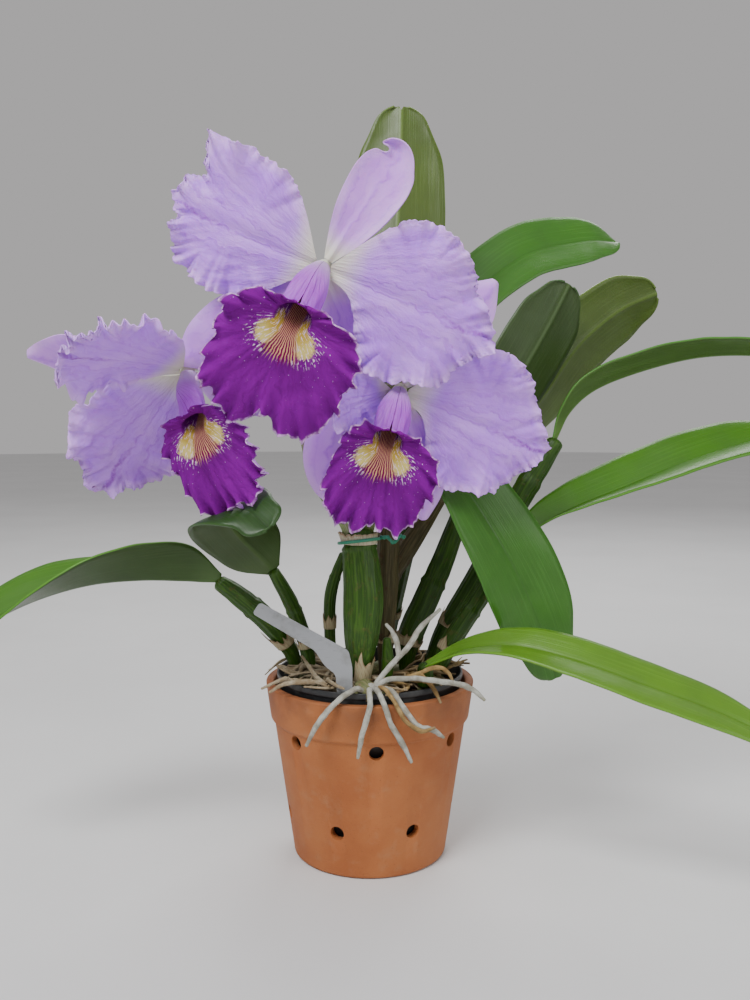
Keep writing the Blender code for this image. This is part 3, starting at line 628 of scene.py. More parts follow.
@dataclass(frozen=True)
class LipFinish:
    """The velvety purple face of a lip, with a cream throat, striped lines and a pale frill."""

    name: str = "lip_purple"
    body: Colour = (0.20, 0.0, 0.27)
    deep: Colour = (0.085, 0.0, 0.11)
    margin: Colour = (0.84, 0.52, 0.94)
    cream: Colour = (0.62, 0.51, 0.16)
    yellow: Colour = (0.42, 0.27, 0.03)
    stripe: Colour = (0.15, 0.0, 0.05)
    tan: Colour = (0.62, 0.36, 0.17)
    fleck: Colour = (0.80, 0.62, 0.80)
    patch_ray: float = 1.5  # where a cream patch has its middle: from the throat's ring, in millimetres
    patch_turn: float = 42.0  # and from the mid-lobe, in degrees
    patch_length: float = 9.5
    patch_width: float = 27.0

    def dress(self, effects: Effects) -> Material:
        """The material. The mesh gives "flat", "edge", "turn" in degrees and "ray" in millimetres.

        Args:
            effects: The shared groups.

        Returns:
            The material.
        """
        look = Look(
            self.name, Roughness=0.5, Subsurface_Weight=0.03, Subsurface_Scale=0.0005,
            Specular_IOR_Level=0.06,
        )
        flat = look.note("flat", "Vector")
        edge, turn, ray = (look.note(name) for name in ("edge", "turn", "ray"))
        aside = abs(turn)
        veins = look.use(effects.veins, flat=flat, count=34.0, behind=0.0, waver=0.5, width=0.5)
        shade = ray.fall(6.0, 30.0) * aside.rise(15.0, 60.0, 1.0, 0.15)
        # Two cream patches with feathered ends lie on both sides of the middle.
        lengthwise = ((ray - self.patch_ray) / self.patch_length) ** 2.0
        sideways = ((aside - self.patch_turn) / self.patch_width) ** 2.0
        spread = lengthwise + sideways + (look.grain(flat, 0.9, 4.0, 0.7) - 0.5) * 1.5
        gold = look.mix(ray.fall(0.0, 7.0) * 0.9, self.cream, self.yellow)
        # White dashes and specks fly off the patches.
        dashes = look.grain(look.build(turn * 0.42, ray * 0.3), 1.0).rise(0.57, 0.62)
        halo = spread.fall(1.1, 2.2) * dashes
        specks = look.grain(flat, 0.75).rise(0.70, 0.73) * ray.rise(12.0, 36.0, 0.7, 0.15)
        # Tan lines on maroon fan down the middle of the throat.
        bend = (look.grain(flat, 0.25) - 0.5) * 7.0
        line = look.math("COSINE", (turn + bend) * 1.3).rise(0.0, 0.75)
        end = 6.0 + look.grain(look.build(turn * 0.5, 0.0), 1.0, 1.0) * 14.0
        fan = aside.fall(22.0, 34.0) * ray.fall(end - 5.0, end)
        rim = look.use(effects.rim, edge=edge, place=flat, width=0.35, feather=1.1) * ray.rise(2.0, 8.0)
        patchy = look.use(effects.mottle, place=flat, scale=0.3, low=0.36, high=0.58)
        tint = look.layers(
            self.body, (veins * 0.32, self.deep), (shade * 0.7, self.deep), (spread.fall(0.62, 1.0), gold),
            (look.math("MAXIMUM", halo, specks), self.fleck),
            (fan * 0.95, look.mix(line, self.stripe, self.tan)),
            (rim * patchy.rise(0.0, 1.0, 0.25, 0.9), self.margin),
        )
        look.put(Base_Color=tint)
        crepe = look.use(effects.crumple, flat=flat, behind=0.0, folds=12.0)
        look.bumps(crepe - veins * 0.3, 0.5, 0.8)
        return look.material


class LeafTone(Enum):
    """Which way a leaf's green leans: its colours above and below. The darkest tone is painted shade: a
    dimmed green for leaves that lie in shadow.
    """

    BRIGHT = ((0.10, 0.235, 0.014), (0.042, 0.09, 0.012))
    FRESH = ((0.055, 0.175, 0.008), (0.028, 0.066, 0.008))
    MIDDLE = ((0.042, 0.15, 0.012), (0.05, 0.115, 0.014))
    OLIVE = ((0.075, 0.13, 0.014), (0.07, 0.115, 0.016))
    # painted shade: the green dimmed for leaves that lie in shadow
    DARK = ((0.02, 0.062, 0.008), (0.03, 0.062, 0.01))


@dataclass(frozen=True)
class LeafFinish:
    """A leathery leaf with a midrib, faint long veins and a thin light margin."""

    name: str
    green: Colour
    underside: bool
    speck: Colour = (0.10, 0.075, 0.02)

    def shaded(self, times: float, plus: float = 0.0) -> Colour:
        """The leaf's green made lighter or darker."""
        return tuple(min(1.0, part * times + plus) for part in self.green)

    def dress(self, effects: Effects) -> Material:
        """The material. The mesh gives "flat" and "edge".

        Args:
            effects: The shared groups.

        Returns:
            The material.
        """
        look = Look(
            self.name, Subsurface_Weight=0.04, Subsurface_Scale=0.001, Coat_Roughness=0.25,
            Specular_IOR_Level=0.32,
        )
        pale, dim = self.shaded(1.55, 0.012), self.shaded(0.68)
        flat, edge = look.note("flat", "Vector"), look.note("edge")
        x, y, _ = look.split(flat)
        fibres = look.use(effects.fibres, across=x, along=y, fineness=1.7, stretch=0.018)
        clouds = look.use(effects.mottle, place=flat, scale=0.03, low=0.3, high=0.7)
        rib = abs(x).rise(0.3, 1.5, 0.75 if self.underside else 0.4, 0.0)
        rim = look.use(effects.rim, edge=edge, place=flat, width=0.35, feather=0.45)
        tint = look.layers(
            self.green, (clouds * 0.55, dim), (fibres.rise(0.5, 0.75, 0.0, 0.45), pale),
            (rib, pale if self.underside else dim), (rim * 0.6, pale),
            (y.rise(2.0, 26.0, 0.6, 0.0), self.shaded(1.9, 0.02)),
            (look.grain(flat, 0.8, 3.0).rise(0.71, 0.76, 0.0, 0.5), self.speck),
        )
        look.put(
            Base_Color=tint, Roughness=clouds.rise(0.0, 1.0, 0.34, 0.46),
            Coat_Weight=fibres.rise(0.3, 0.7, 0.05, 0.16),
        )
        look.bumps(fibres + look.grain(flat, 1.4, 3.0) * 0.5, 0.22, 0.6)
        return look.material


@dataclass(frozen=True)
class StemFinish:
    """A ribbed stem: bulbs, the creeping stem, the flower stalk and columns."""

    name: str
    body: Colour
    light: Colour
    scar: Colour
    scars: float = 0.5
    shine: float = 0.4
    seat: Colour | None = None

    def dress(self, effects: Effects) -> Material:
        """The material. The mesh gives "tube".

        Args:
            effects: The shared groups.

        Returns:
            The material.
        """
        look = Look(self.name, Subsurface_Weight=0.04, Subsurface_Scale=0.001, Specular_IOR_Level=0.3)
        turn, length, radius = look.split(look.note("tube", "Vector"))
        x, y = look.math("COSINE", turn) * radius, look.math("SINE", turn) * radius
        lines = look.grain(look.build(x, y, length * 0.03), 1.3, 3.0)
        marks = look.use(effects.mottle, place=look.place(), scale=0.22, low=0.56, high=0.68)
        coats = [(lines.rise(0.4, 0.68), self.light), (marks * self.scars, self.scar)]
        if self.seat:
            coats.append((radius.rise(2.5, 3.3), self.seat))
        look.put(Base_Color=look.layers(self.body, *coats), Roughness=marks.rise(0.0, 1.0, self.shine, 0.7))
        look.bumps(lines + marks * 0.4, 0.5, 0.8)
        return look.material


@dataclass(frozen=True)
class RootFinish:
    """The matt, spongy coat of an air root."""

    name: str
    body: Colour
    dark: Colour
    tip: Colour

    def dress(self, effects: Effects) -> Material:
        """The material. The mesh gives "tube".

        Args:
            effects: The shared groups.

        Returns:
            The material.
        """
        look = Look(self.name, Specular_IOR_Level=0.25)
        turn, length, radius = look.split(look.note("tube", "Vector"))
        spot = look.place()
        patches = look.use(effects.mottle, place=spot, scale=0.16, low=0.38, high=0.62)
        fibres = look.use(effects.fibres, across=turn, along=length, fineness=2.6, stretch=0.35)
        tint = look.layers(
            self.body, (patches * 0.7, self.dark), (fibres.rise(0.52, 0.7, 0.0, 0.45), self.dark),
            (radius.rise(0.55, 1.0, 0.75, 0.0), self.tip),
        )
        look.put(Base_Color=tint, Roughness=patches.rise(0.0, 1.0, 0.75, 0.92))
        look.bumps(look.grain(spot, 1.6, 4.0, 0.65) + fibres, 0.3, 0.9)
        return look.material


@dataclass(frozen=True)
class TerracottaFinish:
    """Fired clay with dusty patches, fine pits and faint turning lines."""

    name: str = "terracotta_clay"
    body: Colour = (0.36, 0.112, 0.034)
    warm: Colour = (0.43, 0.15, 0.048)
    damp: Colour = (0.17, 0.062, 0.028)
    salt: Colour = (0.44, 0.28, 0.17)

    def dress(self, effects: Effects) -> Material:
        """The material.

        Args:
            effects: The shared groups.

        Returns:
            The material.
        """
        look = Look(self.name, Specular_IOR_Level=0.3)
        spot = look.place()
        height = look.split(spot)[2]
        broad = look.use(effects.mottle, place=spot, scale=0.022, low=0.35, high=0.65)
        dust = look.use(effects.mottle, place=spot, scale=0.12, low=0.5, high=0.78)
        damp = height.rise(78.0, 97.0) * look.grain(spot, 0.05, 4.0).rise(0.3, 0.6)
        tint = look.layers(
            self.body, (broad, self.warm), (dust * 0.28, self.salt), (damp * 0.6, self.damp),
            (look.grain(spot, 1.1).rise(0.66, 0.72, 0.0, 0.5), self.damp),
        )
        look.put(Base_Color=tint, Roughness=dust.rise(0.0, 1.0, 0.62, 0.85))
        turning = look.grain(look.build(0.0, 0.0, height * 0.9), 1.0)
        look.bumps(turning * 0.5 + look.grain(spot, 1.8, 4.0, 0.65), 0.28, 0.8)
        return look.material


@dataclass(frozen=True)
class MouldedFinish:
    """Moulded or cut plastic, and the wire's plastic coat."""

    name: str
    body: Colour
    dusty: Colour
    rough: float
    dust: float

    def dress(self, effects: Effects) -> Material:
        """The material.

        Args:
            effects: The shared groups.

        Returns:
            The material.
        """
        look = Look(self.name, Specular_IOR_Level=0.45)
        spot = look.place()
        film = look.use(effects.mottle, place=spot, scale=0.09, low=0.42, high=0.7)
        scuffs = look.grain(look.stretch(spot, (0.15, 1.0, 1.6)), 0.8, 4.0, 0.6)
        marks = film * self.dust + scuffs.rise(0.6, 0.75, 0.0, self.dust)
        look.put(
            Base_Color=look.mix(marks, self.body, self.dusty),
            Roughness=film.rise(0.0, 1.0, self.rough, self.rough + 0.25),
        )
        look.bumps(look.grain(spot, 2.2), 0.06, 0.6)
        return look.material


@dataclass(frozen=True)
class BarkFinish:
    """Broken pine bark in browns, each chip with its own shade."""

    name: str = "bark_chips"
    dark: Colour = (0.05, 0.026, 0.014)
    middle: Colour = (0.115, 0.06, 0.032)
    light: Colour = (0.2, 0.125, 0.075)

    def dress(self, effects: Effects) -> Material:
        """The material. The mesh gives "tone", a value for each chip.

        Args:
            effects: The shared groups.

        Returns:
            The material.
        """
        look = Look(self.name, Specular_IOR_Level=0.25)
        spot = look.place()
        grain = look.grain(look.stretch(spot, (0.5, 0.5, 1.9)), 0.8, 4.0, 0.65)
        patches = look.use(effects.mottle, place=spot, scale=0.2, low=0.5, high=0.7)
        tint = look.layers(
            self.dark, (look.note("tone").rise(0.1, 0.6), self.middle), (grain.rise(0.48, 0.72), self.light),
            (patches * 0.5, self.dark),
        )
        look.put(Base_Color=tint, Roughness=grain.rise(0.3, 0.7, 0.7, 0.95))
        look.bumps(grain + look.grain(spot, 1.5, 4.0, 0.7), 0.7, 1.0)
        return look.material


@dataclass(frozen=True)
class PaperFinish:
    """A dry papery sheath: cream, with brown veins and a torn brown edge."""

    name: str
    body: Colour = (0.52, 0.47, 0.33)
    brown: Colour = (0.21, 0.125, 0.055)

    def dress(self, effects: Effects) -> Material:
        """The material. The mesh gives "flat" and "edge".

        Args:
            effects: The shared groups.

        Returns:
            The material.
        """
        look = Look(self.name, Subsurface_Weight=0.1, Subsurface_Scale=0.001, Specular_IOR_Level=0.3)
        flat, edge = look.note("flat", "Vector"), look.note("edge")
        x, y, _ = look.split(flat)
        fibres = look.use(effects.fibres, across=x, along=y, fineness=2.4, stretch=0.09)
        rim = look.use(effects.rim, edge=edge, place=flat, width=0.5, feather=1.2)
        tint = look.layers(
            self.body, (fibres.rise(0.48, 0.68, 0.0, 0.7), self.brown), (rim * 0.6, self.brown)
        )
        look.put(Base_Color=tint, Roughness=fibres.rise(0.3, 0.7, 0.6, 0.85))
        look.bumps(fibres, 0.3, 0.8)
        return look.material


@dataclass(frozen=True)
class FloorFinish:
    """A pale, even studio floor."""

    name: str = "studio_floor"
    dark: Colour = (0.66, 0.66, 0.66)
    light: Colour = (0.7, 0.7, 0.7)

    def dress(self, effects: Effects) -> Material:
        """The material.

        Args:
            effects: The shared groups.

        Returns:
            The material.
        """
        look = Look(self.name)
        clouds = look.use(effects.mottle, place=look.place(), scale=0.004, low=0.3, high=0.7)
        look.put(Base_Color=look.mix(clouds, self.dark, self.light))
        look.put(Roughness=clouds.rise(0.0, 1.0, 0.75, 0.85))
        return look.material


@dataclass
class Pots:
    """The clay pot with its vents, and the plastic pot inside it."""

    base_radius: float = 44.0
    collar_height: float = 80.0
    below_collar_radius: float = 55.2
    collar_radius: float = 57.2
    rim_radius: float = 60.0
    rim_height: float = 101.0
    wall: float = 5.0
    floor: float = 6.0
    vent_radius: float = 4.0
    vent_heights: tuple[float, float] = (26.0, 74.0)
    vents_in_a_ring: int = 7
    upper_vent_start: float = 4.0
    drain_radius: float = 3.5
    drain_ring_radius: float = 26.0
    drains: int = 5
    cutter_length: float = 30.0
    soft_edge: float = 0.5
    soft_above: float = 50.0  # degrees between two faces
    sharp_above: float = 42.0
    sides: int = 144
    liner_rim_height: float = 106.0
    liner_rim_radius: float = 53.6
    liner_base_radius: float = 38.0
    liner_wall: float = 1.2
    gap: float = 0.35

    def turned(self, name: str, profile: list[tuple[float, float]]) -> Mesh:
        """A solid from a profile of radius and height that starts and ends on the axis.

        Args:
            name: The mesh's name.
            profile: The radius and height of each point.

        Returns:
            The mesh, in metres.
        """
        work = bmesh.new()
        corners = [work.verts.new((radius * MM, 0, height * MM)) for radius, height in profile]
        lines = [work.edges.new(pair) for pair in zip(corners, corners[1:])]
        bmesh.ops.spin(
            work, geom=corners + lines, cent=(0, 0, 0), axis=(0, 0, 1), angle=math.tau, steps=self.sides,
            use_merge=True,
        )
        bmesh.ops.remove_doubles(work, verts=work.verts, dist=0.01 * MM)
        bmesh.ops.recalc_face_normals(work, faces=work.faces)
        mesh = made_mesh(work, name)
        mesh.shade_smooth()
        return mesh

    @staticmethod
    def rounded(corners: list[tuple[float, float, float]]) -> list[tuple[float, float]]:
        """A profile with its corners rounded.

        Args:
            corners: The radius, height and rounding of each corner.

        Returns:
            The profile's points.
        """
        points = []
        for index, (radius, height, round_by) in enumerate(corners):
            if not round_by:
                points.append((radius, height))
                continue
            here = np.array((radius, height))
            before, after = np.array(corners[index - 1][:2]), np.array(corners[index + 1][:2])
            start = here + unit(before - here) * round_by
            end = here + unit(after - here) * round_by
            for t in np.linspace(0, 1, 5):
                spot = start * (1 - t) ** 2 + here * 2 * t * (1 - t) + end * t ** 2
                points.append((float(spot[0]), float(spot[1])))
        return points

    def clay(self) -> Mesh:
        """The clay pot: a taper with a collar, vents through its wall and drains in its floor.

        Returns:
            The mesh, in metres.
        """
        inside_rim = self.rim_radius - self.wall
        inside_base = self.base_radius - self.wall + 0.6
        corners = [
            (0, self.floor, 0), (inside_base, self.floor, 1.5), (inside_rim, self.rim_height, 1.6),
            (self.rim_radius, self.rim_height, 1.4), (self.collar_radius, self.collar_height, 1.2),
            (self.below_collar_radius, self.collar_height - 1.5, 0.7), (self.base_radius, 0, 1.8), (0, 0, 0),
        ]
        mesh = self.turned("clay_pot", self.rounded(corners))
        self.cut_holes(mesh)
        return mesh

    @staticmethod
    def moved_to(radius: float, turn: float, height: float) -> Matrix:
        """A move to a spot at a radius and a turn round the axis."""
        return Matrix.Translation((radius * math.cos(turn) * MM, radius * math.sin(turn) * MM, height * MM))

    def cut_holes(self, mesh: Mesh) -> None:
        """Cuts the vents and drains, each with a softened edge.

        Args:
            mesh: The pot's mesh, which is changed.
        """
        cutter = bmesh.new()
        step = 360 / self.vents_in_a_ring
        for ring, height in enumerate(self.vent_heights):
            for index in range(self.vents_in_a_ring):
                turn = math.radians(self.upper_vent_start + step * (index + (0 if ring else 0.5)) - 90)
                lay = self.moved_to(self.rim_radius - self.wall, turn, height)
                lay = lay @ Matrix.Rotation(turn, 4, "Z") @ Matrix.Rotation(math.pi / 2, 4, "Y")
                self.add_rod(cutter, self.vent_radius, lay)
        for index in range(self.drains):
            lay = self.moved_to(self.drain_ring_radius, math.tau * index / self.drains, 0)
            self.add_rod(cutter, self.drain_radius, lay)
        tool = bpy.data.objects.new("hole_cutters", made_mesh(cutter, "hole_cutters"))
        body = bpy.data.objects.new("clay_body", mesh)
        for thing in (tool, body):
            bpy.context.scene.collection.objects.link(thing)
        cut = body.modifiers.new("Holes", "BOOLEAN")
        cut.operation = "DIFFERENCE"
        cut.object = tool
        cut.solver = "EXACT"
        soften_edges(body, self.soft_edge).angle_limit = math.radians(self.soft_above)
        bpy.context.view_layer.update()
        done = bpy.data.meshes.new_from_object(body.evaluated_get(bpy.context.evaluated_depsgraph_get()))
        work = bmesh.new()
        work.from_mesh(done)
        work.to_mesh(mesh)
        work.free()
        mesh.shade_smooth()
        mesh.set_sharp_from_angle(angle=math.radians(self.sharp_above))
        for thing in (tool, body):
            bpy.data.objects.remove(thing)

    def add_rod(self, work: bmesh.types.BMesh, radius: float, lay: Matrix) -> None:
        """Adds one cutting cylinder.

        Args:
            work: The cutters so far.
            radius: The cylinder's radius.
            lay: Where it lies.
        """
        bmesh.ops.create_cone(
            work, cap_ends=True, segments=28, radius1=radius * MM, radius2=radius * MM,
            depth=self.cutter_length * MM, matrix=lay,
        )

    def liner_radius(self, height: float) -> float:
        """The plastic pot's outer radius at a height."""
        rise = (height - self.floor) / (self.liner_rim_height - self.floor)
        return self.liner_base_radius + (self.liner_rim_radius - self.liner_base_radius) * rise

    def liner(self) -> Mesh:
        """The plastic pot, with a rolled rim.

        Returns:
            The mesh, in metres.
        """
        foot = self.floor + self.gap
        inner = foot + self.liner_wall
        top = self.liner_rim_height
        rim = self.liner_rim_radius
        corners = [
            (0, inner, 0), (self.liner_radius(inner) - self.liner_wall, inner, 1.0),
            (rim - self.liner_wall, top, 0.4), (rim, top, 0.5), (rim, top - 3, 0.3),
            (self.liner_radius(top - 4), top - 4, 0.3), (self.liner_radius(foot), foot, 1.0), (0, foot, 0),
        ]
        return self.turned("inner_pot", self.rounded(corners))

    def build(self, effects: Effects) -> None:
        """Makes, dresses and places both pots."""
        clay = TerracottaFinish().dress(effects)
        plastic = MouldedFinish("dark_pot_plastic", (0.018, 0.02, 0.022), (0.10, 0.10, 0.095), 0.32, 0.35)
        place_piece("clay_pot_piece", self.clay(), [clay], "clay_pot")
        place_piece("inner_pot_piece", self.liner(), [plastic.dress(effects)], "inner_pot")


@dataclass
class Bark:
    """The bark in the plastic pot, with loose chips on top."""

    height: float = 93.0
    rings: int = 40
    sides: int = 96
    play: float = 0.2  # more room than the pots' own gap
    body_tone: float = 0.1
    chips: int = 330
    reach: float = 49.0
    limit: float = 49.5  # how far out the end of a chip may come
    tilt: float = 0.45  # radians
    roughness: float = 0.17
    seed: int = 5

    def body(self, pots: Pots) -> Mesh:
        """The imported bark: an uneven top and a plain tapered side.

        Args:
            pots: The pots that hold it.

        Returns:
            The mesh, in metres.
        """
        foot = pots.floor + pots.liner_wall + 2 * pots.gap
        inward = pots.liner_wall + pots.gap + self.play
        base, top = (pots.liner_radius(height) - inward for height in (foot, self.height))
        radii = np.concatenate([[0.01, base, base], np.linspace(top, 0.01, self.rings)])
        heights = np.concatenate([[foot, foot, foot + 1], np.full(self.rings, self.height)])
        turns = even_turns(self.sides)
        x, y = radii[:, None] * np.cos(turns), radii[:, None] * np.sin(turns)
        z = np.broadcast_to(heights[:, None], x.shape).copy()
        lumps = 1.6 * drift(spots(x, y) * 0.18, 3) + 0.9 * drift(spots(x, y) * 0.6, 4)
        z[3:] += lumps[3:] - 0.6
        return grid_mesh("bark_body", spots(x, y, z), {"tone": np.full(x.shape, self.body_tone)}, ring=True)

    def chip(self, draw: random.Random, lay: Matrix, size: Point, tone: float) -> Mesh:
        """One broken chip: a block with its faces and edges knocked out of true.

        Args:
            draw: The source of random values.
            lay: Where the chip lies.
            size: Its length, width and thickness in millimetres.
            tone: Its shade, from 0 to 1.

        Returns:
            The chip's mesh, in metres.
        """
        work = bmesh.new()
        bmesh.ops.create_cube(work, size=1.0)
        bmesh.ops.subdivide_edges(work, edges=work.edges, cuts=3, use_grid_fill=True)
        shift = draw.uniform(0, 90)
        taper = draw.uniform(-0.35, 0.35)
        for spot in work.verts:
            place = spot.co.copy()
            spot.co.y *= 1 + taper * place.x * 2
            spot.co *= 1 - 0.22 * max(0.0, place.length - 0.55)
            spot.co += noise.noise_vector(place * 2.6 + Vector((shift, 0, 0))) * self.roughness
            spot.co = Vector(part * length * MM for part, length in zip(spot.co, size))
        work.transform(lay)
        mesh = made_mesh(work, "chip")
        values = np.full(len(mesh.vertices), tone, np.float32)
        mesh.attributes.new("tone", "FLOAT", "POINT").data.foreach_set("value", values)
        return mesh

    def loose(self) -> list[Mesh]:
        """The chips, scattered by a seeded draw.

        Returns:
            Their meshes.
        """
        draw = random.Random(self.seed)
        noise.seed_set(self.seed)
        made = []
        for _ in range(self.chips):
            reach = self.reach * math.sqrt(draw.random())
            turn = draw.random() * math.tau
            size = (draw.uniform(5, 11), draw.uniform(3.5, 7), draw.uniform(2, 4))
            low = max(0.0, reach + size[0] / 2 - self.limit)
            x, y = (reach - low) * math.cos(turn), (reach - low) * math.sin(turn)
            z = self.height + draw.uniform(-0.5, 2.6)
            lay = Matrix.Translation(Vector((x, y, z)) * MM)
            lay = lay @ Matrix.Rotation(draw.random() * math.tau, 4, "Z")
            for axis in "XY":
                lay = lay @ Matrix.Rotation(draw.uniform(-self.tilt, self.tilt), 4, axis)
            made.append(self.chip(draw, lay, size, draw.random()))
        return made

    def build(self, effects: Effects, pots: Pots) -> None:
        """Makes, dresses and places the bark."""
        mesh = joined_mesh("bark_medium", [self.body(pots), *self.loose()])
        place_piece("bark_piece", mesh, [BarkFinish().dress(effects)], "bark_medium")


@dataclass(frozen=True)
class BulbShape:
    """One swollen stem: points on its centre line, a radius at each, and its joints."""

    name: str
    points: tuple[Point, ...]
    radii: tuple[float, ...]
    ribs: int = 9
    rib_depth: float = 0.06
    joints: tuple[float, ...] = (0.3, 0.62)
    brown: bool = False
    skin: float = 11.0


BULB_FOOT = 104.25
BULBS = (
    BulbShape(
        "bulb_lead",
        ((-5, -36, BULB_FOOT), (-5, -36, 118), (-4, -36, 136), (-3, -34, 153), (-4, -32, 170),
         (-6, -30, 187)),
        (4.2, 6.2, 9.4, 10.4, 9.8, 8.0), ribs=11, rib_depth=0.075, joints=(0.06, 0.93), skin=24.0,
    ),
    BulbShape(
        "bulb_thin", ((-22, 0, BULB_FOOT), (-23, -2, 130), (-22, -6, 152), (-15, -11, 174)),
        (3.0, 3.2, 3.4, 2.4), joints=(0.35, 0.8),
    ),
    BulbShape(
        "bulb_stalk", ((9, -8, BULB_FOOT), (9, -8, 130), (10, -9, 160), (11, -9, 195), (11, -8, 232)),
        (3.6, 5.0, 6.4, 5.6, 4.2), joints=(0.2, 0.5, 0.9), brown=True,
    ),
    BulbShape(
        "bulb_middle", ((21, 7, BULB_FOOT), (23, 7, 122), (33, 9, 145), (44, 12, 170), (58, 21, 207)),
        (4.0, 7.0, 7.2, 6.2, 4.2), joints=(0.22, 0.6),
    ),
    BulbShape(
        "bulb_arching", ((35, 13, BULB_FOOT), (44, 13, 126), (64, 13, 160), (89, 14, 206), (108, 15, 236)),
        (3.6, 5.0, 5.8, 6.6, 5.0), joints=(0.28, 0.58, 0.8),
    ),
    BulbShape(
        "bulb_right", ((38, -8, BULB_FOOT), (45, -8, 121), (60, -7, 145), (75, -4, 168)),
        (3.6, 5.2, 5.4, 4.2),
    ),
    BulbShape("bulb_stub", ((31, -26, BULB_FOOT), (31, -27, 114)), (4.6, 4.2), joints=(0.5,)),
    BulbShape(
        "bulb_left_low",
        ((-43, 5, BULB_FOOT), (-47, 3, 117), (-60, -4, 136), (-74, -10, 150), (-84, -12, 158)),
        (3.6, 4.6, 6.2, 5.6, 4.6),
    ),
    BulbShape(
        "bulb_left_high", ((-34, -4, BULB_FOOT), (-37, -4, 122), (-44, -11, 145), (-53, -22, 166)),
        (3.4, 4.2, 4.2, 3.4),
    ),
    BulbShape(
        "bulb_back_tall", ((9, 27, BULB_FOOT), (13, 28, 135), (22, 27, 180), (29, 25, 220)),
        (3.6, 5.6, 6.4, 4.2),
    ),
    BulbShape(
        "bulb_back", ((-7, 15, BULB_FOOT), (-5.5, 15, 123), (6, 15, 148), (21, 14, 173), (40, 12, 203)),
        (3.6, 4.8, 5.6, 6.0, 4.2), brown=True,
    ),
    BulbShape(
        "new_shoot", ((9, -33, BULB_FOOT), (10, -34, 118), (9.5, -35, 131)), (2.6, 3.4, 2.2), ribs=5,
        rib_depth=0.03, joints=(0.55,),
    ),
)


@dataclass
class Bulbs:
    """All the swollen stems, with the torn papery skins that are left at their joints."""

    sides: int = 36
    skin_rows: int = 9
    skin_columns: int = 48
    skin_turn: float = 0.93  # the share of the way round that a skin covers
    skin_thickness: float = 0.25

    def bulb(self, shape: BulbShape, seed: int) -> Mesh:
        """One bulb: lengthwise ribs that fade at the ends, and a raised ring at each joint.

        Args:
            shape: The bulb.
            seed: Which random ribs it gets.

        Returns:
            The mesh, in metres.
        """
        share = np.linspace(0, 1, 12 * len(shape.points) + 8)
        turns = even_turns(self.sides)
        sway = drift(spots(np.cos(turns), np.sin(turns)), seed)
        fade = smooth_step(0.02, 0.2, share) * (1 - smooth_step(0.9, 1.0, share))
        ribs = shape.rib_depth * fade[:, None] * np.cos(shape.ribs * turns + 1.5 * sway)[None, :]
        for joint in shape.joints:
            ribs += 0.10 * hump(share - joint, 0.012)[:, None]
            ribs -= 0.05 * hump(share - joint - 0.035, 0.02)[:, None]
        places = spots(np.cos(turns), np.sin(turns), share[:, None] * 7)
        ribs += 0.035 * drift(places * 1.4, seed + 40)
        return tube_mesh(shape.name, along(shape.points, share), along(shape.radii, share), self.sides, ribs)

    def skin(self, shape: BulbShape, seed: int) -> Mesh:
        """A torn papery skin that clings above the lowest joint.

        Args:
            shape: The bulb.
            seed: Which random tears it gets.

        Returns:
            The mesh, in metres.
        """
        length = length_of(shape.points)
        turns = np.linspace(0, math.tau * self.skin_turn, self.skin_columns)
        top = shape.skin * (0.55 + 0.6 * drift_line(turns * 1.6, seed))
        top = top * (1 + 0.5 * drift_line(turns * 9, seed + 1))
        height = np.linspace(0, 1, self.skin_rows)[:, None] * np.maximum(top, 1.5)[None, :]
        share = np.clip(shape.joints[0] - 0.01 + height / length, 0, 1)
        route, radii = along(shape.points, share), along(shape.radii, share)
        ahead = unit(ahead_of(shape.points, share))
        side = unit(np.cross(ahead, (0.0, 1.0, 0.0)))
        across = np.cross(ahead, side)
        lift = 1.14 + 0.10 * (height / shape.skin) + 0.05 * drift_line(turns * 3, seed + 2)[None, :]
        reach = (radii * lift)[..., None]
        around = side * np.cos(turns)[None, :, None] + across * np.sin(turns)[None, :, None]
        points = route + around * reach
        flat = spots(turns[None, :] * radii, height, 0 * height)
        return grid_mesh("skin", points, {"flat": flat, "edge": top[None, :] - height})

    def build(self, effects: Effects) -> None:
        """Makes, dresses and places every bulb."""
        green = StemFinish(
            "bulb_green", (0.02, 0.06, 0.004), (0.046, 0.115, 0.008), (0.11, 0.09, 0.025), 0.4
        )
        brown = StemFinish(
            "bulb_brown", (0.06, 0.05, 0.018), (0.12, 0.10, 0.04), (0.09, 0.045, 0.02), 0.6, 0.55
        )
        looks = {False: green.dress(effects), True: brown.dress(effects)}
        paper = PaperFinish("bulb_paper", (0.42, 0.36, 0.22), (0.16, 0.09, 0.04)).dress(effects)
        for number, shape in enumerate(BULBS):
            mesh = self.bulb(shape, number)
            place_piece(shape.name + "_piece", mesh, [looks[shape.brown]], shape.name)
            if len(shape.points) > 3:
                mesh = self.skin(shape, number * 5)
                skin = place_piece(shape.name + "_skin_0", mesh, [paper], shape.name)
                thicken(skin, self.skin_thickness)


class LeafTip(Enum):
    """What the tip of a leaf does."""

    PLAIN = "plain"
    NOTCHED = "notched"
    TURNED = "turned"


@dataclass(frozen=True)
class LeafShape:
    """One strap leaf: its midrib, half width, facing and fold at foot and tip, and its looks."""

    name: str
    points: tuple[Point, ...]
    half_width: float
    face_foot: Point
    face_tip: Point
    fold_foot: float
    fold_tip: float
    tone: LeafTone
    tip: LeafTip = LeafTip.PLAIN
    broad_foot: bool = False


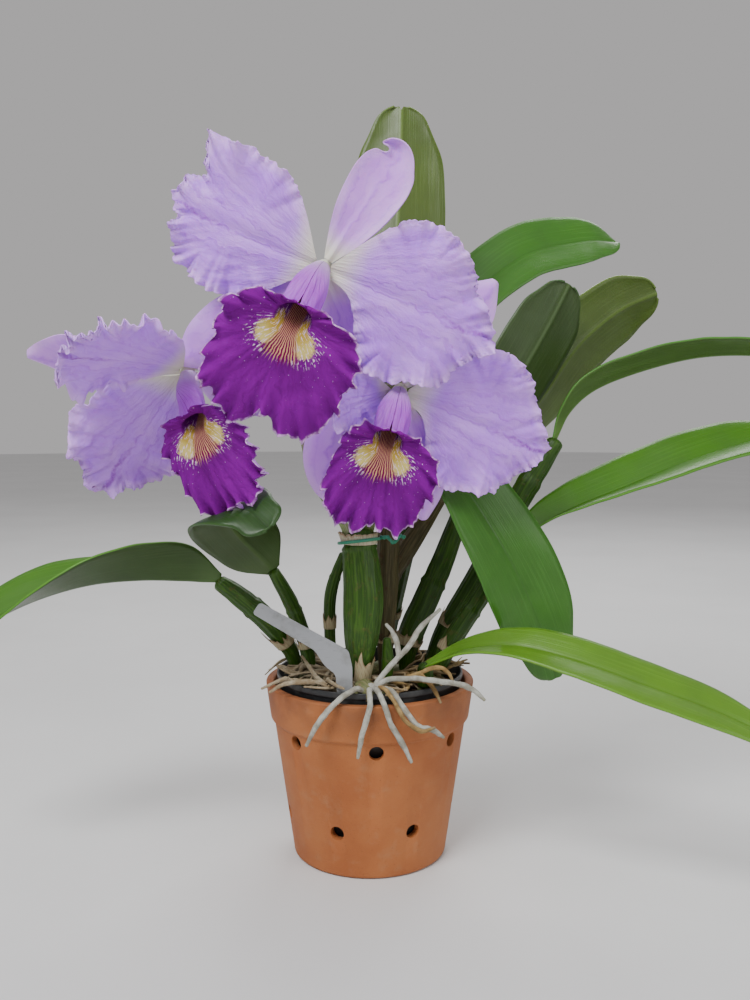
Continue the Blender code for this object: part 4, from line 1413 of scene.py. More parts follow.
LEAVES = (
    LeafShape(
        "leaf_upright",
        ((-2.5, -29, 188.7), (1, -26, 238), (10, -15, 295), (15, -2, 348), (17, 8, 392), (18, 16, 427)),
        27, (0.2, 1, 0.1), (0, 0.95, 0.2), 22, 6, LeafTone.OLIVE, LeafTip.NOTCHED,
    ),
    LeafShape(
        "leaf_upper_right",
        ((29, 25, 221), (40, 37, 265), (56, 50, 316), (92, 64, 350), (128, 73, 361), (158, 79, 364)),
        23, (-0.6, -0.75, 0.2), (-0.1, -0.8, 0.6), 20, 8, LeafTone.MIDDLE, LeafTip.TURNED,
    ),
    LeafShape(
        "leaf_olive",
        ((58.8, 21.6, 208.7), (82, 33, 236), (106, 44, 265), (128, 52, 295), (154, 58, 317), (178, 61, 328)),
        24, (-0.4, 0.85, 0.3), (-0.25, 0.9, 0.3), 18, 8, LeafTone.OLIVE,
    ),
    LeafShape(
        "leaf_shaded", ((40, 12, 204), (62, 16, 236), (83, 20, 268), (103, 24, 302), (117, 27, 329)),
        # this leaf's dark tone is painted shade for the shadow that it lies in
        23, (-0.4, 0.9, 0.2), (-0.3, 0.9, 0.1), 18, 8, LeafTone.DARK,
    ),
    LeafShape(
        "leaf_arching",
        ((108, 15, 237), (116, 17, 254), (132, 20, 268), (160, 22, 279), (194, 24, 287), (229, 25, 288),
         (263, 26, 283)),
        17, (-0.75, 0.5, 0.4), (0.1, 0.15, 1), 34, 24, LeafTone.MIDDLE,
    ),
    LeafShape(
        "leaf_right",
        ((75, -4, 169), (93, 2, 186), (118, 8, 199), (150, 14, 211), (186, 19, 225), (222, 24, 236),
         (253, 27, 243)),
        22, (-0.5, -0.35, 0.8), (-0.1, -0.55, 0.85), 40, 18, LeafTone.FRESH,
    ),
    LeafShape(
        "leaf_drooping",
        ((11, -8, 233), (27, -19, 237), (47, -33, 219), (65, -37, 193), (80, -34, 167), (92, -29, 141),
         (104, -22, 106)),
        25, (0.1, -0.3, 0.95), (0.15, -0.98, 0.1), 26, 8, LeafTone.MIDDLE,
    ),
    LeafShape(
        "leaf_low_right",
        ((31, -28, 115), (52, -40, 127), (76, -54, 132), (104, -66, 128), (138, -78, 118), (172, -88, 107),
         (208, -96, 91)),
        16, (0, -0.45, 0.9), (0.1, -0.5, 0.85), 24, 10, LeafTone.BRIGHT,
    ),
    LeafShape(
        "leaf_low_left",
        ((-84, -12, 159), (-104, -17, 161), (-128, -21, 162), (-154, -25, 160), (-180, -28, 153),
         (-205, -30, 142), (-228, -31, 128)),
        28, (0.1, 0.7, 0.7), (-0.1, -0.6, 0.8), 50, 20, LeafTone.FRESH, broad_foot=True,
    ),
    LeafShape(
        "leaf_curled_left",
        ((-53, -22, 167), (-61, -30, 177), (-69, -41, 188), (-73, -54, 198), (-70, -68, 205),
         (-59, -82, 206), (-48, -93, 199)),
        # this leaf's dark tone is painted shade for the shadow that it lies in
        22, (-0.3, 0.85, 0.3), (-0.35, -0.5, 0.8), 20, 8, LeafTone.DARK, broad_foot=True,
    ),
)


@dataclass
class Leaves:
    """The strap leaves, each folded along its midrib."""

    outline: tuple[float, ...] = (0.17, 0.42, 0.72, 0.92, 1.0, 0.98, 0.82, 0.16)
    broad_outline: tuple[float, ...] = (0.2, 0.75, 0.92, 1.0, 0.97, 0.86, 0.62, 0.1)
    rows: int = 110
    columns: int = 27
    thickness: float = 1.1

    def blade(self, shape: LeafShape, seed: int) -> Mesh:
        """One leaf's sheet, with a groove at its midrib, long low waves and a rounded tip.

        Args:
            shape: The leaf.
            seed: Which random waves it gets.

        Returns:
            The mesh, in metres.
        """
        u = 1 - (1 - np.linspace(0, 1, self.rows)) ** 1.25
        v = np.linspace(-1, 1, self.columns)
        v = 0.6 * v + 0.4 * v ** 3
        u, v = np.broadcast_arrays(u[:, None], v[None, :])
        width = along(self.broad_outline if shape.broad_foot else self.outline, u)
        # The last stretch is rounded off, where the table's straight taper would look cut.
        blunt = smooth_step(0.86, 1.0, u)
        width = width * (1 - blunt) + blunt * np.maximum(width, 0.95 * np.clip((1 - u) / 0.14, 0, 1) ** 0.42)
        length = length_of(shape.points)
        if shape.tip is LeafTip.NOTCHED:
            u = u - 0.012 * hump(v, 0.14) * smooth_step(0.9, 1.0, u)
        foot, tip = np.array(shape.face_foot), np.array(shape.face_tip)
        ahead = ahead_of(shape.points, u)
        side = unit(np.cross(ahead, foot + (tip - foot) * u[..., None]))
        up = unit(np.cross(side, ahead))
        fold = np.radians(shape.fold_foot + (shape.fold_tip - shape.fold_foot) * u)
        reach = shape.half_width * width * v
        wave = 0.9 * drift(spots(u * length / 34, v * 0.8 + 3), seed)
        wave += 0.35 * drift(spots(u * length / 11, v * 2.0), seed + 20)
        lift = (np.sqrt(reach ** 2 + 4) - 2) * np.sin(fold) + wave * np.abs(v) * smooth_step(0.05, 0.3, u)
        lift -= 0.55 * hump(reach, 1.6) * smooth_step(0.0, 0.1, u)
        lift -= 1.6 * np.abs(v) ** 4 * smooth_step(0.15, 0.5, u)
        if shape.tip is LeafTip.TURNED:
            lift -= 7 * smooth_step(0.88, 1.05, u) * (0.5 - 0.5 * v)
        points = along(shape.points, u) + side * (reach * np.cos(fold))[..., None] + up * lift[..., None]
        edge = np.minimum((1 - np.abs(v)) * (shape.half_width * width), (1 - u) * length + 0.2)
        return grid_mesh(shape.name, points, {"flat": spots(reach, u * length, 0 * u), "edge": edge})

    def build(self, effects: Effects) -> None:
        """Makes, dresses and places every leaf."""
        looks = {}
        for tone in LeafTone:
            top, under = tone.value
            name = "leaf_" + tone.name.lower()
            faces = (LeafFinish(name + "_top", top, False), LeafFinish(name + "_under", under, True))
            looks[tone] = [finish.dress(effects) for finish in faces]
        for seed, shape in enumerate(LEAVES):
            mesh = self.blade(shape, seed)
            piece = place_piece(shape.name + "_piece", mesh, looks[shape.tone], shape.name)
            thicken(piece, self.thickness, two_sided=True)


class FlowerFrame:
    """A flower's centre, the way it faces, and its own up and right as a viewer sees it."""

    def __init__(self, centre: Point, facing: Point, roll: float) -> None:
        """Works out the three directions.

        Args:
            centre: Where the petals meet.
            facing: The way the flower looks.
            roll: How far its top is turned clockwise, in degrees.
        """
        self.centre = np.array(centre, float)
        self.facing = unit(facing)
        level = np.array((0.0, 0.0, 1.0))
        level = unit(level - self.facing * level.dot(self.facing))
        turn = math.radians(roll)
        self.up = level * math.cos(turn) + np.cross(level, self.facing) * math.sin(turn)
        self.right = np.cross(self.up, self.facing)

    def clock(self, angle: object) -> np.ndarray:
        """The direction at clock angles in degrees from the flower's top."""
        turn = np.radians(np.asarray(angle, float))[..., None]
        return self.up * np.cos(turn) + self.right * np.sin(turn)


class TepalKind(Enum):
    """A sepal is narrow and smooth, and a petal is broad and frilled."""

    SEPAL = "sepal"
    PETAL = "petal"


SEPAL_OUTLINE = (2, 7.5, 11.5, 13.8, 14, 10.5, 2)


@dataclass(frozen=True)
class TepalShape:
    """One sepal or petal."""

    part: str
    kind: TepalKind
    clock: float
    sickle: float
    lean_foot: float
    lean_tip: float
    length: float
    width: float
    ruffle: float = 0.0
    outlines: tuple[Outline, Outline] = (SEPAL_OUTLINE, SEPAL_OUTLINE)  # half widths on both sides
    hook: float = 0.0
    cup: float = 1.0
    streak: float = 0.0
    corners: tuple[tuple[float, float, float, float], ...] = ()  # across, along, push outwards, spread


@dataclass(frozen=True)
class LipShape:
    """One lip: its throat, the turn of its tube, and its limb's facing, turn and size."""

    forward: float
    drop: float
    turn: float
    limb_facing: Point
    limb_turn: float
    size: float
    width: float
    lobes: tuple[tuple[float, float, float], ...] = ()  # turn, push outwards and spread in degrees
    swell: float = 0.0  # how much wider the middle of the tube is
    pinch: float = 0.25  # how far the top of the throat is pulled in, as a share


@dataclass(frozen=True)
class FlowerShape:
    """One flower of the cluster."""

    name: str
    centre: Point
    facing: Point
    roll: float
    tepals: tuple[TepalShape, ...]
    lip: LipShape

    def frame(self) -> FlowerFrame:
        """The flower's place and directions."""
        return FlowerFrame(self.centre, self.facing, self.roll)


PETAL_LEFT_OUTLINES = ((3, 15, 27, 30, 29, 24, 3), (3, 22, 34, 36, 38, 29, 4))
PETAL_RIGHT_OUTLINES = ((3, 22, 36, 38, 33, 18, 3), (3, 9, 34, 38, 34, 28, 4))
LEFT_FLOWER_LOW_OUTLINES = ((3, 15, 27, 31, 31, 26, 3), (3, 30, 40, 40, 38, 30, 4))
LEFT_FLOWER_HIGH_OUTLINES = ((3, 14, 26, 34, 36, 30, 4), (3, 26, 36, 40, 40, 32, 4))
HOOD_OUTLINES = ((3, 8, 12, 12, 10, 7, 3), (3, 12, 16, 17, 15, 11, 4))
SEPAL, PETAL = TepalKind.SEPAL, TepalKind.PETAL

FLOWERS = (
    FlowerShape(
        "top_flower", (-22, -90, 322), (-0.12, -0.97, -0.2), 22,
        (
            TepalShape("dorsal_sepal", SEPAL, 15, -4, -10, -22, 70, 1.0, hook=1.0, cup=-1.6),
            TepalShape("sepal_left", SEPAL, -145, 5, 2, -7, 85, 1.15),
            TepalShape("sepal_right", SEPAL, 143, 4, -10, -22, 76, 1.0),
            TepalShape(
                "petal_left", PETAL, -90, 4, 6, -16, 75, 1.0, 3.0, PETAL_LEFT_OUTLINES, streak=0.85,
                corners=(
                    (29, 62, 13, 6), (19, 68, -4, 4), (13, 72, 5, 3), (2, 75, 5, 4), (-6, 74, -4, 3),
                    (-22, 66, 4, 4),
                ),
            ),
            TepalShape(
                "petal_right", PETAL, 90, 4, 8, -14, 84, 1.0, 3.0, PETAL_RIGHT_OUTLINES, streak=0.85,
                corners=((4, 84, 3, 4), (20, 78, -2, 4), (29, 70, 3, 5), (36, 45, 2, 4), (-20, 70, -2, 4)),
            ),
        ),
        LipShape(
            28.8, 22.0, 182, (-0.12, -0.97, -0.2), 204, 0.98, 0.93,
            lobes=(
                (1, -5, 4), (-12, 9, 10), (22, 3, 9), (-38, 2, 7), (58, -3, 8), (-62, -6, 16), (84, 3, 9),
            ),
            swell=1.5,
        ),
    ),
    FlowerShape(
        "right_flower", (15, -70, 264), (-0.05, -0.97, -0.22), 22,
        (
            TepalShape("dorsal_sepal", SEPAL, 21, 0, -14, -20, 70, 1.0),
            TepalShape("sepal_left", SEPAL, -121, -115, -2, 6, 79, 0.92, cup=2.2),
            TepalShape("sepal_right", SEPAL, 145, 6, -4, -5, 67, 1.0),
            TepalShape(
                "petal_left", PETAL, -124, -10, 25, 65, 40, 1.0, 2.2, HOOD_OUTLINES,
                corners=((0, 41, 5, 4), (9, 35, -2, 3), (16, 25, 4, 4), (-9, 30, 4, 4), (-12, 20, -2, 4)),
            ),
            TepalShape("petal_right", PETAL, 90, 4, 2, -14, 78, 1.0, 3.0, PETAL_RIGHT_OUTLINES, streak=0.95),
        ),
        LipShape(
            25.2, 19.3, 173, (-0.05, -0.97, -0.22), 195, 0.84, 0.8,
            lobes=((-5, 8, 9), (8, -3, 4), (-24, 4, 7), (28, 3, 8), (-70, -7, 16), (70, 3, 10)), swell=2.0,
        ),
    ),
    FlowerShape(
        "left_flower", (-92, -60, 274), (0, -0.6, -0.8), -105,
        (
            TepalShape("dorsal_sepal", SEPAL, 10, 0, -8, -12, 84, 1.3),
            TepalShape("sepal_left", SEPAL, -110, 0, 0, -10, 52, 0.8),
            TepalShape("sepal_right", SEPAL, 178, 0, -22, -28, 44, 0.8),
            TepalShape(
                "petal_left", PETAL, -36, 0, 16, 20, 88, 0.8, 3.0, LEFT_FLOWER_LOW_OUTLINES, streak=0.95,
                corners=((10, 86, 6, 4), (-14, 82, -4, 5), (24, 72, 3, 4), (-27, 62, 5, 6), (32, 50, 6, 12)),
            ),
            TepalShape(
                "petal_right", PETAL, 57, -4, 20, 22, 66, 0.8, 3.0, LEFT_FLOWER_HIGH_OUTLINES, streak=0.95,
                corners=((12, 63, 6, 4), (-26, 40, 6, 13), (28, 50, 3, 4), (22, 58, -3, 3), (33, 32, 3, 4)),
            ),
        ),
        LipShape(
            31.0, 6.0, 190, (-0.33, -0.92, -0.1), 155, 0.9, 0.62,
            lobes=(
                (0, 2, 9), (-30, 3, 8), (-55, -3, 8), (-78, 3, 10), (30, -2, 9), (62, 2, 10), (-150, -4, 40),
                (150, -4, 40),
            ),
            swell=3.0, pinch=0.6,
        ),
    ),
)


class Tepal:
    """Turns one tepal's shape into a fine mesh, worked out on the sheet laid flat."""

    START = 3.9  # from the flower's axis to a tepal's foot
    SEPAL_LIFT = -2.4  # sepals sit this far behind the petals
    STEPS = 60
    MARGIN_STEPS = 260
    HOOK_LEAN = 60.0  # degrees that a full hook leans and turns the tip
    HOOK_TURN = 120.0
    COLUMN_ARC = math.pi / 2 * 0.92  # crowds the columns towards the margin
    GRIDS = {TepalKind.PETAL: (171, 65), TepalKind.SEPAL: (84, 29)}

    def __init__(self, shape: TepalShape, at: FlowerFrame, seed: int) -> None:
        """Bends the midline.

        Args:
            shape: The tepal's sizes.
            at: Its flower's frame.
            seed: Which random ruffles it gets.
        """
        self.shape, self.at, self.seed = shape, at, seed
        self.is_petal = shape.kind is TepalKind.PETAL
        lift = 0.0 if self.is_petal else self.SEPAL_LIFT
        share = (np.arange(self.STEPS) + 0.5) / self.STEPS
        start = at.centre + at.clock(shape.clock) * self.START + at.facing * lift
        travel = np.cumsum(self.ahead(share) * (shape.length / self.STEPS), axis=0)
        self.spine = np.concatenate([[start], start + travel])

    def lean(self, u: np.ndarray) -> np.ndarray:
        """How far the midline leans forwards, in radians.

        Args:
            u: The share along the sheet.

        Returns:
            The angle at each share.
        """
        shape = self.shape
        hooked = shape.hook * self.HOOK_LEAN * smooth_step(0.86, 1.0, u)
        return np.radians(shape.lean_foot + (shape.lean_tip - shape.lean_foot) * u + hooked)

    def angle(self, u: np.ndarray) -> np.ndarray:
        """The clock angle that the midline runs at."""
        shape = self.shape
        return shape.clock + shape.sickle * u - shape.hook * self.HOOK_TURN * smooth_step(0.78, 1.0, u)

    def ahead(self, u: np.ndarray) -> np.ndarray:
        """The direction of the midline."""
        lean = self.lean(u)[..., None]
        return self.at.clock(self.angle(u)) * np.cos(lean) + self.at.facing * np.sin(lean)

    def half_width(self, u: np.ndarray, side: int) -> np.ndarray:
        """The half width of the sheet on one side of the midline.

        Args:
            u: The share along the sheet.
            side: 0 before the midline and 1 after it.

        Returns:
            The width in millimetres at each share.
        """
        width = along(self.shape.outlines[side], u) * self.shape.width
        if self.shape.hook:
            width = width * (1 - 0.45 * smooth_step(0.72, 0.95, u))
        return width

    def margin(self) -> tuple[np.ndarray, np.ndarray, np.ndarray]:
        """The flat outline from the foot round the tip and back.

        Returns:
            Its points, the length walked to each, and the way outwards at each.
        """
        u = np.linspace(0, 1, self.MARGIN_STEPS)
        before, after = (
            spots(way * self.half_width(u, side), u * self.shape.length) for side, way in enumerate((-1, 1))
        )
        line = np.concatenate([before, after[::-1]])
        walked = np.concatenate([[0], np.cumsum(np.linalg.norm(np.diff(line, axis=0), axis=1))])
        ways = np.gradient(line, axis=0)
        return line, walked, unit(spots(-ways[:, 1], ways[:, 0]))

    def surface(self, flat: np.ndarray, height: np.ndarray) -> np.ndarray:
        """Places for flat spots.

        Args:
            flat: Across and along the sheet, in millimetres.
            height: Off the sheet, towards the front.

        Returns:
            The places.
        """
        u = flat[..., 1] / self.shape.length
        inside = np.clip(u, 0, 1)
        lean = self.lean(inside)[..., None]
        side = self.at.clock(self.angle(inside) + 90)
        normal = self.at.facing * np.cos(lean) - self.at.clock(self.angle(inside)) * np.sin(lean)
        beyond = ((u - inside) * self.shape.length)[..., None]
        middle = along(self.spine, inside) + self.ahead(inside) * beyond
        return middle + side * flat[..., :1] + normal * height[..., None]

    def mesh(self, name: str) -> Mesh:
        """The sheet, with its big waves, fine frill, toothed margin and creases.

        Args:
            name: The mesh's name.

        Returns:
            The mesh, in metres.
        """
        shape, seed = self.shape, self.seed
        rows, columns = self.GRIDS[shape.kind]
        line, walked, outward = self.margin()
        half = len(line) // 2
        even = walked[:half] + (walked[-1] - walked[half:][::-1])
        u_rows = np.interp(np.linspace(0, even[-1], rows), even, np.linspace(0, 1, half))
        v_columns = np.sin(np.linspace(-1, 1, columns) * self.COLUMN_ARC) / math.sin(self.COLUMN_ARC)
        u, v = np.broadcast_arrays(u_rows[:, None], v_columns[None, :])
        flat = spots(np.where(v < 0, self.half_width(u, 0), self.half_width(u, 1)) * v, u * shape.length)
        places = flat.reshape(-1, 2)
        gaps = np.linalg.norm(places[:, None] - line[None, ::2], axis=-1)
        nearest = gaps.argmin(axis=1)
        edge = gaps[np.arange(len(places)), nearest].reshape(u.shape)
        walk = walked[::2][nearest].reshape(u.shape)
        height = self.relief(u, v, flat, edge, walk)
        if self.is_petal:
            tooth = 0.8 * drift_line(walk / 1.5, seed) + 0.9 * drift_line(walk / 4.0, seed + 3)
            push = 1.25 * tooth * smooth_step(0.12, 0.35, u) * np.exp(-edge / 2.0)
            near = line[::2][nearest].reshape(*u.shape, 2)
            for across, far, by, spread in shape.corners:
                away = np.linalg.norm(near - np.array((across, far)), axis=-1)
                push = push + by * np.exp(-(away / spread) ** 1.5 - edge / 9)
            flat = flat + outward[::2][nearest].reshape(*u.shape, 2) * push[..., None]
        note = spots(flat[..., 0], flat[..., 1], 0 * u)
        return grid_mesh(name, self.surface(flat, height), {"flat": note, "edge": edge, "share": u})

    def relief(
        self, u: np.ndarray, v: np.ndarray, flat: np.ndarray, edge: np.ndarray, walk: np.ndarray
    ) -> np.ndarray:
        """The height of each spot off the smooth sheet.

        Args:
            u: The share along the sheet.
            v: The share across it.
            flat: The flat place in millimetres.
            edge: The distance to the margin.
            walk: How far round the margin the nearest spot of it is.

        Returns:
            The height in millimetres.
        """
        shape, seed = self.shape, self.seed
        wave = np.sin(math.tau * 3 * u + np.where(v > 0, 0.8, 2.6))
        height = shape.ruffle * wave * v ** 2 * smooth_step(0.1, 0.6, u)
        across, deep = flat[..., 0], flat[..., 1] + VEIN_FOOT
        turn, radius = np.arctan2(across, deep), np.hypot(across, deep)
        if not self.is_petal:
            height -= shape.cup * 2.2 * v ** 2 * smooth_step(0.0, 0.4, u)
            height += 0.5 * drift(spots(turn * 9, radius / 16), seed + 8)
            height += 0.8 * hump(across, 1.5) * (1 - u)
            slow = 0.5 * np.sin(math.tau * walk / 23 + seed) * np.exp(-edge / 4)
            return height + slow * smooth_step(0.1, 0.4, u)
        frill = 2.3 * np.sin(ripple(walk, 12, 2.6, 13, seed + 5)) * np.exp(-edge / 6)
        frill += 1.5 * np.sin(ripple(walk, 5.2, 3.0, 6, seed + 6)) * np.exp(-edge / 2.8)
        frill *= (1 + 0.8 * drift_line(walk / 17, seed + 7)) * smooth_step(0.12, 0.4, u)
        fine = 0.5 * np.sin(ripple(walk, 4.8, 3.0, 9, seed + 4)) * np.exp(-edge / 12)
        frill += fine * smooth_step(0.35, 0.6, u)
        crepe = 1.3 * drift(spots(turn * 7, radius / 30), seed + 8)
        crepe += 0.5 * drift(spots(turn * 26, radius / 10), seed + 9)
        height = height + frill + crepe * smooth_step(0.12, 0.5, u)
        return height - 0.9 * hump(across, 2.2) * (1 - smooth_step(0.5, 0.95, u))


class Lip:
    """One lip: a tube round the column with a slit along its top, spread into a frilled limb."""

    TUBE_START = 1.9
    TUBE_DROP = 1.2
    FOOT_RADIUS = 4.4
    THROAT_RADIUS = 9.5
    REACH = (50, 57, 52, 42, 30, 19, 13, 11)  # from the throat, every 24 degrees from the mid-lobe
    REACH_END = 168.0
    SLIT = 4.5  # at the throat, on each side
    TUBE_SLIT = 0.6  # along the tube
    DROOP = 0.0036
    FRILLS = 7
    FRILL_HEIGHT = 2.2
    TUBE_ROWS = 22
    LIMB_ROWS = 52
    COLUMNS = 245
    TUBE_SHARE = 0.4  # the part of the whole way out that the tube stands for
    COLUMN_PLACES = (0.2, 0.4, 0.58)
    COLUMN_RADII = (2.4, 2.7, 3.4, 3.0)
    COLUMN_RINGS = 30
    COLUMN_SIDES = 28

    def __init__(self, shape: LipShape, at: FlowerFrame, seed: int) -> None:
        """Finds the throat and turns the limb.

        Args:
            shape: The lip's sizes.
            at: Its flower's frame.
            seed: Which random frills it gets.
        """
        self.shape, self.at, self.seed = shape, at, seed
        self.throat = self.centre(np.array(1.0))
        self.limb = FlowerFrame(tuple(self.throat), shape.limb_facing, 0)

    def centre(self, share: np.ndarray) -> np.ndarray:
        """The middle of the tube at shares of its length.

        Args:
            share: The shares.

        Returns:
            A place for each share.
        """
        share = np.asarray(share, float)[..., None]
        forward = self.TUBE_START + (self.shape.forward - self.TUBE_START) * share
        down = self.TUBE_DROP + (self.shape.drop - self.TUBE_DROP) * share ** 1.4
        return self.at.centre + self.at.facing * forward + self.at.clock(self.shape.turn) * down

    def squeeze(self, turn: np.ndarray) -> np.ndarray:
        """The share by which the throat is pulled in at each turn."""
        return self.shape.pinch * smooth_step(70, 165, np.abs(turn))

    def tube(self, share: np.ndarray, turn: np.ndarray) -> np.ndarray:
        """Places on the tube.

        Args:
            share: Shares of its length.
            turn: Turns from the mid-lobe, in degrees.

        Returns:
            The places.
        """
        size = self.shape.size
        radius = self.FOOT_RADIUS + (self.THROAT_RADIUS * size - self.FOOT_RADIUS) * share
        tube_side = self.at.clock(self.shape.turn - turn)
        limb_side = self.limb.clock(self.shape.limb_turn - turn)
        side = tube_side + (limb_side - tube_side) * share[..., None]
        folds = 0.35 * np.sin(np.radians(turn) * 9) * smooth_step(0.2, 0.9, share)
        swell = self.shape.swell * np.sin(math.pi * share) ** 2
        reach = (radius + folds + swell) * (1 - self.squeeze(turn) * share ** 3)
        return self.centre(share) + side * reach[..., None]

    def limb_places(self, share: np.ndarray, turn: np.ndarray) -> tuple[np.ndarray, np.ndarray, np.ndarray]:
        """Places on the limb.

        Args:
            share: How far out each spot is, from the throat to the margin.
            turn: Its turn from the mid-lobe, in degrees.

        Returns:
            The places, each spot's distance to the margin, and its flat place.
        """
        shape, seed = self.shape, self.seed
        rays = np.radians(turn)
        limit = along(self.REACH, np.minimum(1.0, np.abs(turn) / self.REACH_END)) * shape.size
        throat_radius = self.THROAT_RADIUS * shape.size
        walk = np.broadcast_to(np.cumsum(limit[-1] * np.gradient(rays[-1])), turn.shape)
        edge = (limit - throat_radius) * (1 - share)
        late = smooth_step(2.0, 14.0, limit - throat_radius)
        tooth = 2.0 * drift_line(walk / 1.8, seed) + 2.8 * drift_line(walk / 5.5, seed + 1)
        tooth = tooth * np.exp(-edge / 2.6)
        curl = ripple(walk, 11.5, 2.6, 12, seed + 2)
        tooth = tooth + 1.5 * np.cos(curl) * np.exp(-edge / 3.5)
        for spot, by, spread in shape.lobes:
            tooth = tooth + by * np.exp(-(np.abs(turn - spot) / spread) ** 1.5 - edge / 12)
        radius = throat_radius + (limit - throat_radius) * share + tooth * late
        radius = radius * (1 - self.squeeze(turn))
        ahead = np.cos(rays) * radius
        aside = np.sin(rays) * radius * (1 + (shape.width - 1) * share)
        flare = 5 * np.sin(math.pi * np.minimum(1.0, share * 1.2) * 0.5)
        frill = self.FRILL_HEIGHT * np.sin(self.FRILLS * rays) * share ** 2
        fine = 4.0 * np.sin(curl) * np.exp(-edge / 6.5)
        fine += 3.0 * np.sin(ripple(walk, 5.0, 2.8, 5, seed + 3)) * np.exp(-edge / 2.6)
        fine *= (1 + 0.7 * drift_line(walk / 15, seed + 4)) * late
        folds = 1.8 * drift(spots(rays * 4, radius / 20), seed + 5)
        folds += 0.8 * drift(spots(rays * 14, radius / 9), seed + 6)
        height = flare + frill + fine + folds * smooth_step(0.0, 0.35, share) - self.DROOP * radius ** 2
        middle, across = self.limb.clock(shape.limb_turn), self.limb.clock(shape.limb_turn - 90)
        places = self.throat + middle * ahead[..., None] + across * aside[..., None]
        places = places + self.limb.facing * height[..., None]
        return places, edge, spots(aside, ahead, 0 * aside)

    def mesh(self, name: str) -> Mesh:
        """The whole lip as one sheet.

        Args:
            name: The mesh's name.

        Returns:
            The mesh, in metres.
        """
        turn = np.linspace(1, -1, self.COLUMNS) * (180 - self.SLIT)
        closed = (self.SLIT - self.TUBE_SLIT) / (180 - self.SLIT)
        tube_share = np.linspace(0, 1, self.TUBE_ROWS, endpoint=False)
        limb_share = np.linspace(0, 1, self.LIMB_ROWS) ** 0.85
        tube_share, tube_turn = np.broadcast_arrays(tube_share[:, None], turn[None, :])
        limb_share, limb_turn = np.broadcast_arrays(limb_share[:, None], turn[None, :])
        tube_turn = tube_turn * (1 + closed * (1 - smooth_step(0.86, 1.0, tube_share)))
        tube = self.tube(tube_share, tube_turn)
        limb, edge, flat = self.limb_places(limb_share, limb_turn)
        deep = (tube_share - 1) * self.shape.forward
        tube_flat = spots(np.sin(np.radians(tube_turn)) * 9, deep + 9, 0 * deep)
        reach = np.linalg.norm(flat, axis=-1) - self.THROAT_RADIUS * self.shape.size
        notes = {
            "flat": np.concatenate([tube_flat, flat]),
            "edge": np.concatenate([np.full(deep.shape, 9.0), edge]),
            "turn": np.concatenate([tube_turn, limb_turn]),
            "ray": np.concatenate([deep, reach]),
            "share": np.concatenate(
                [tube_share * self.TUBE_SHARE, self.TUBE_SHARE + limb_share * (1 - self.TUBE_SHARE)]
            ),
        }
        return grid_mesh(name, np.concatenate([tube, limb]), notes)

    def column(self, name: str) -> Mesh:
        """The column inside the tube, with a rounded cap.

        Args:
            name: The mesh's name.

        Returns:
            The mesh, in metres.
        """
        drop = self.at.clock(self.shape.turn)
        foot = self.at.centre + self.at.facing * self.TUBE_START + drop * self.TUBE_DROP
        inner = [self.centre(np.array(place)) - drop for place in self.COLUMN_PLACES]
        share = np.linspace(0, 1, self.COLUMN_RINGS)
        route, radii = along([foot, *inner], share), along(self.COLUMN_RADII, share)
        return tube_mesh(name, route, radii, self.COLUMN_SIDES)


@dataclass
class Flowers:
    """The three flowers."""

    petal_thickness: float = 0.6
    streaks: tuple[float, ...] = (0.0, 0.85, 0.95)

    def build(self, effects: Effects) -> None:
        """Makes, dresses and places every tepal, lip and column."""
        petals = {
            streak: TepalFinish(
                f"petal_lavender_{int(streak * 100)}", (0.54, 0.21, 0.98), (0.80, 0.50, 0.99), 20.0, 44.0,
                streak=streak,
            ).dress(effects)
            for streak in self.streaks
        }
        sepal = TepalFinish(
            "sepal_lavender", (0.60, 0.23, 0.88), (0.76, 0.47, 0.94), 9.0, 30.0, 0.3
        ).dress(effects)
        lip_back = TepalFinish(
            "lip_back", (0.42, 0.055, 0.66), (0.66, 0.30, 0.86), 12.0, 34.0, deep=(0.25, 0.005, 0.40),
            claw=(0.64, 0.42, 0.76),
        ).dress(effects)
        lip_face = LipFinish().dress(effects)
        pale = StemFinish(
            "column_pale", (0.62, 0.42, 0.72), (0.72, 0.6, 0.8), (0.5, 0.2, 0.55), 0.3, 0.45
        ).dress(effects)
        for number, shape in enumerate(FLOWERS):
            at = shape.frame()
            for index, tepal in enumerate(shape.tepals):
                name = f"{shape.name}_{tepal.part}"
                mesh = Tepal(tepal, at, 10 * number + index + 1).mesh(name)
                look = petals[tepal.streak] if tepal.kind is PETAL else sepal
                piece = place_piece(name + "_piece", mesh, [look], name)
                thicken(piece, self.petal_thickness)
            lip = Lip(shape.lip, at, 50 + number * 9)
            name = shape.name + "_lip"
            piece = place_piece(name + "_piece", lip.mesh(name), [lip_face, lip_back], name)
            thicken(piece, self.petal_thickness, two_sided=True)
            name = shape.name + "_column"
            place_piece(name + "_piece", lip.column(name), [pale], name)


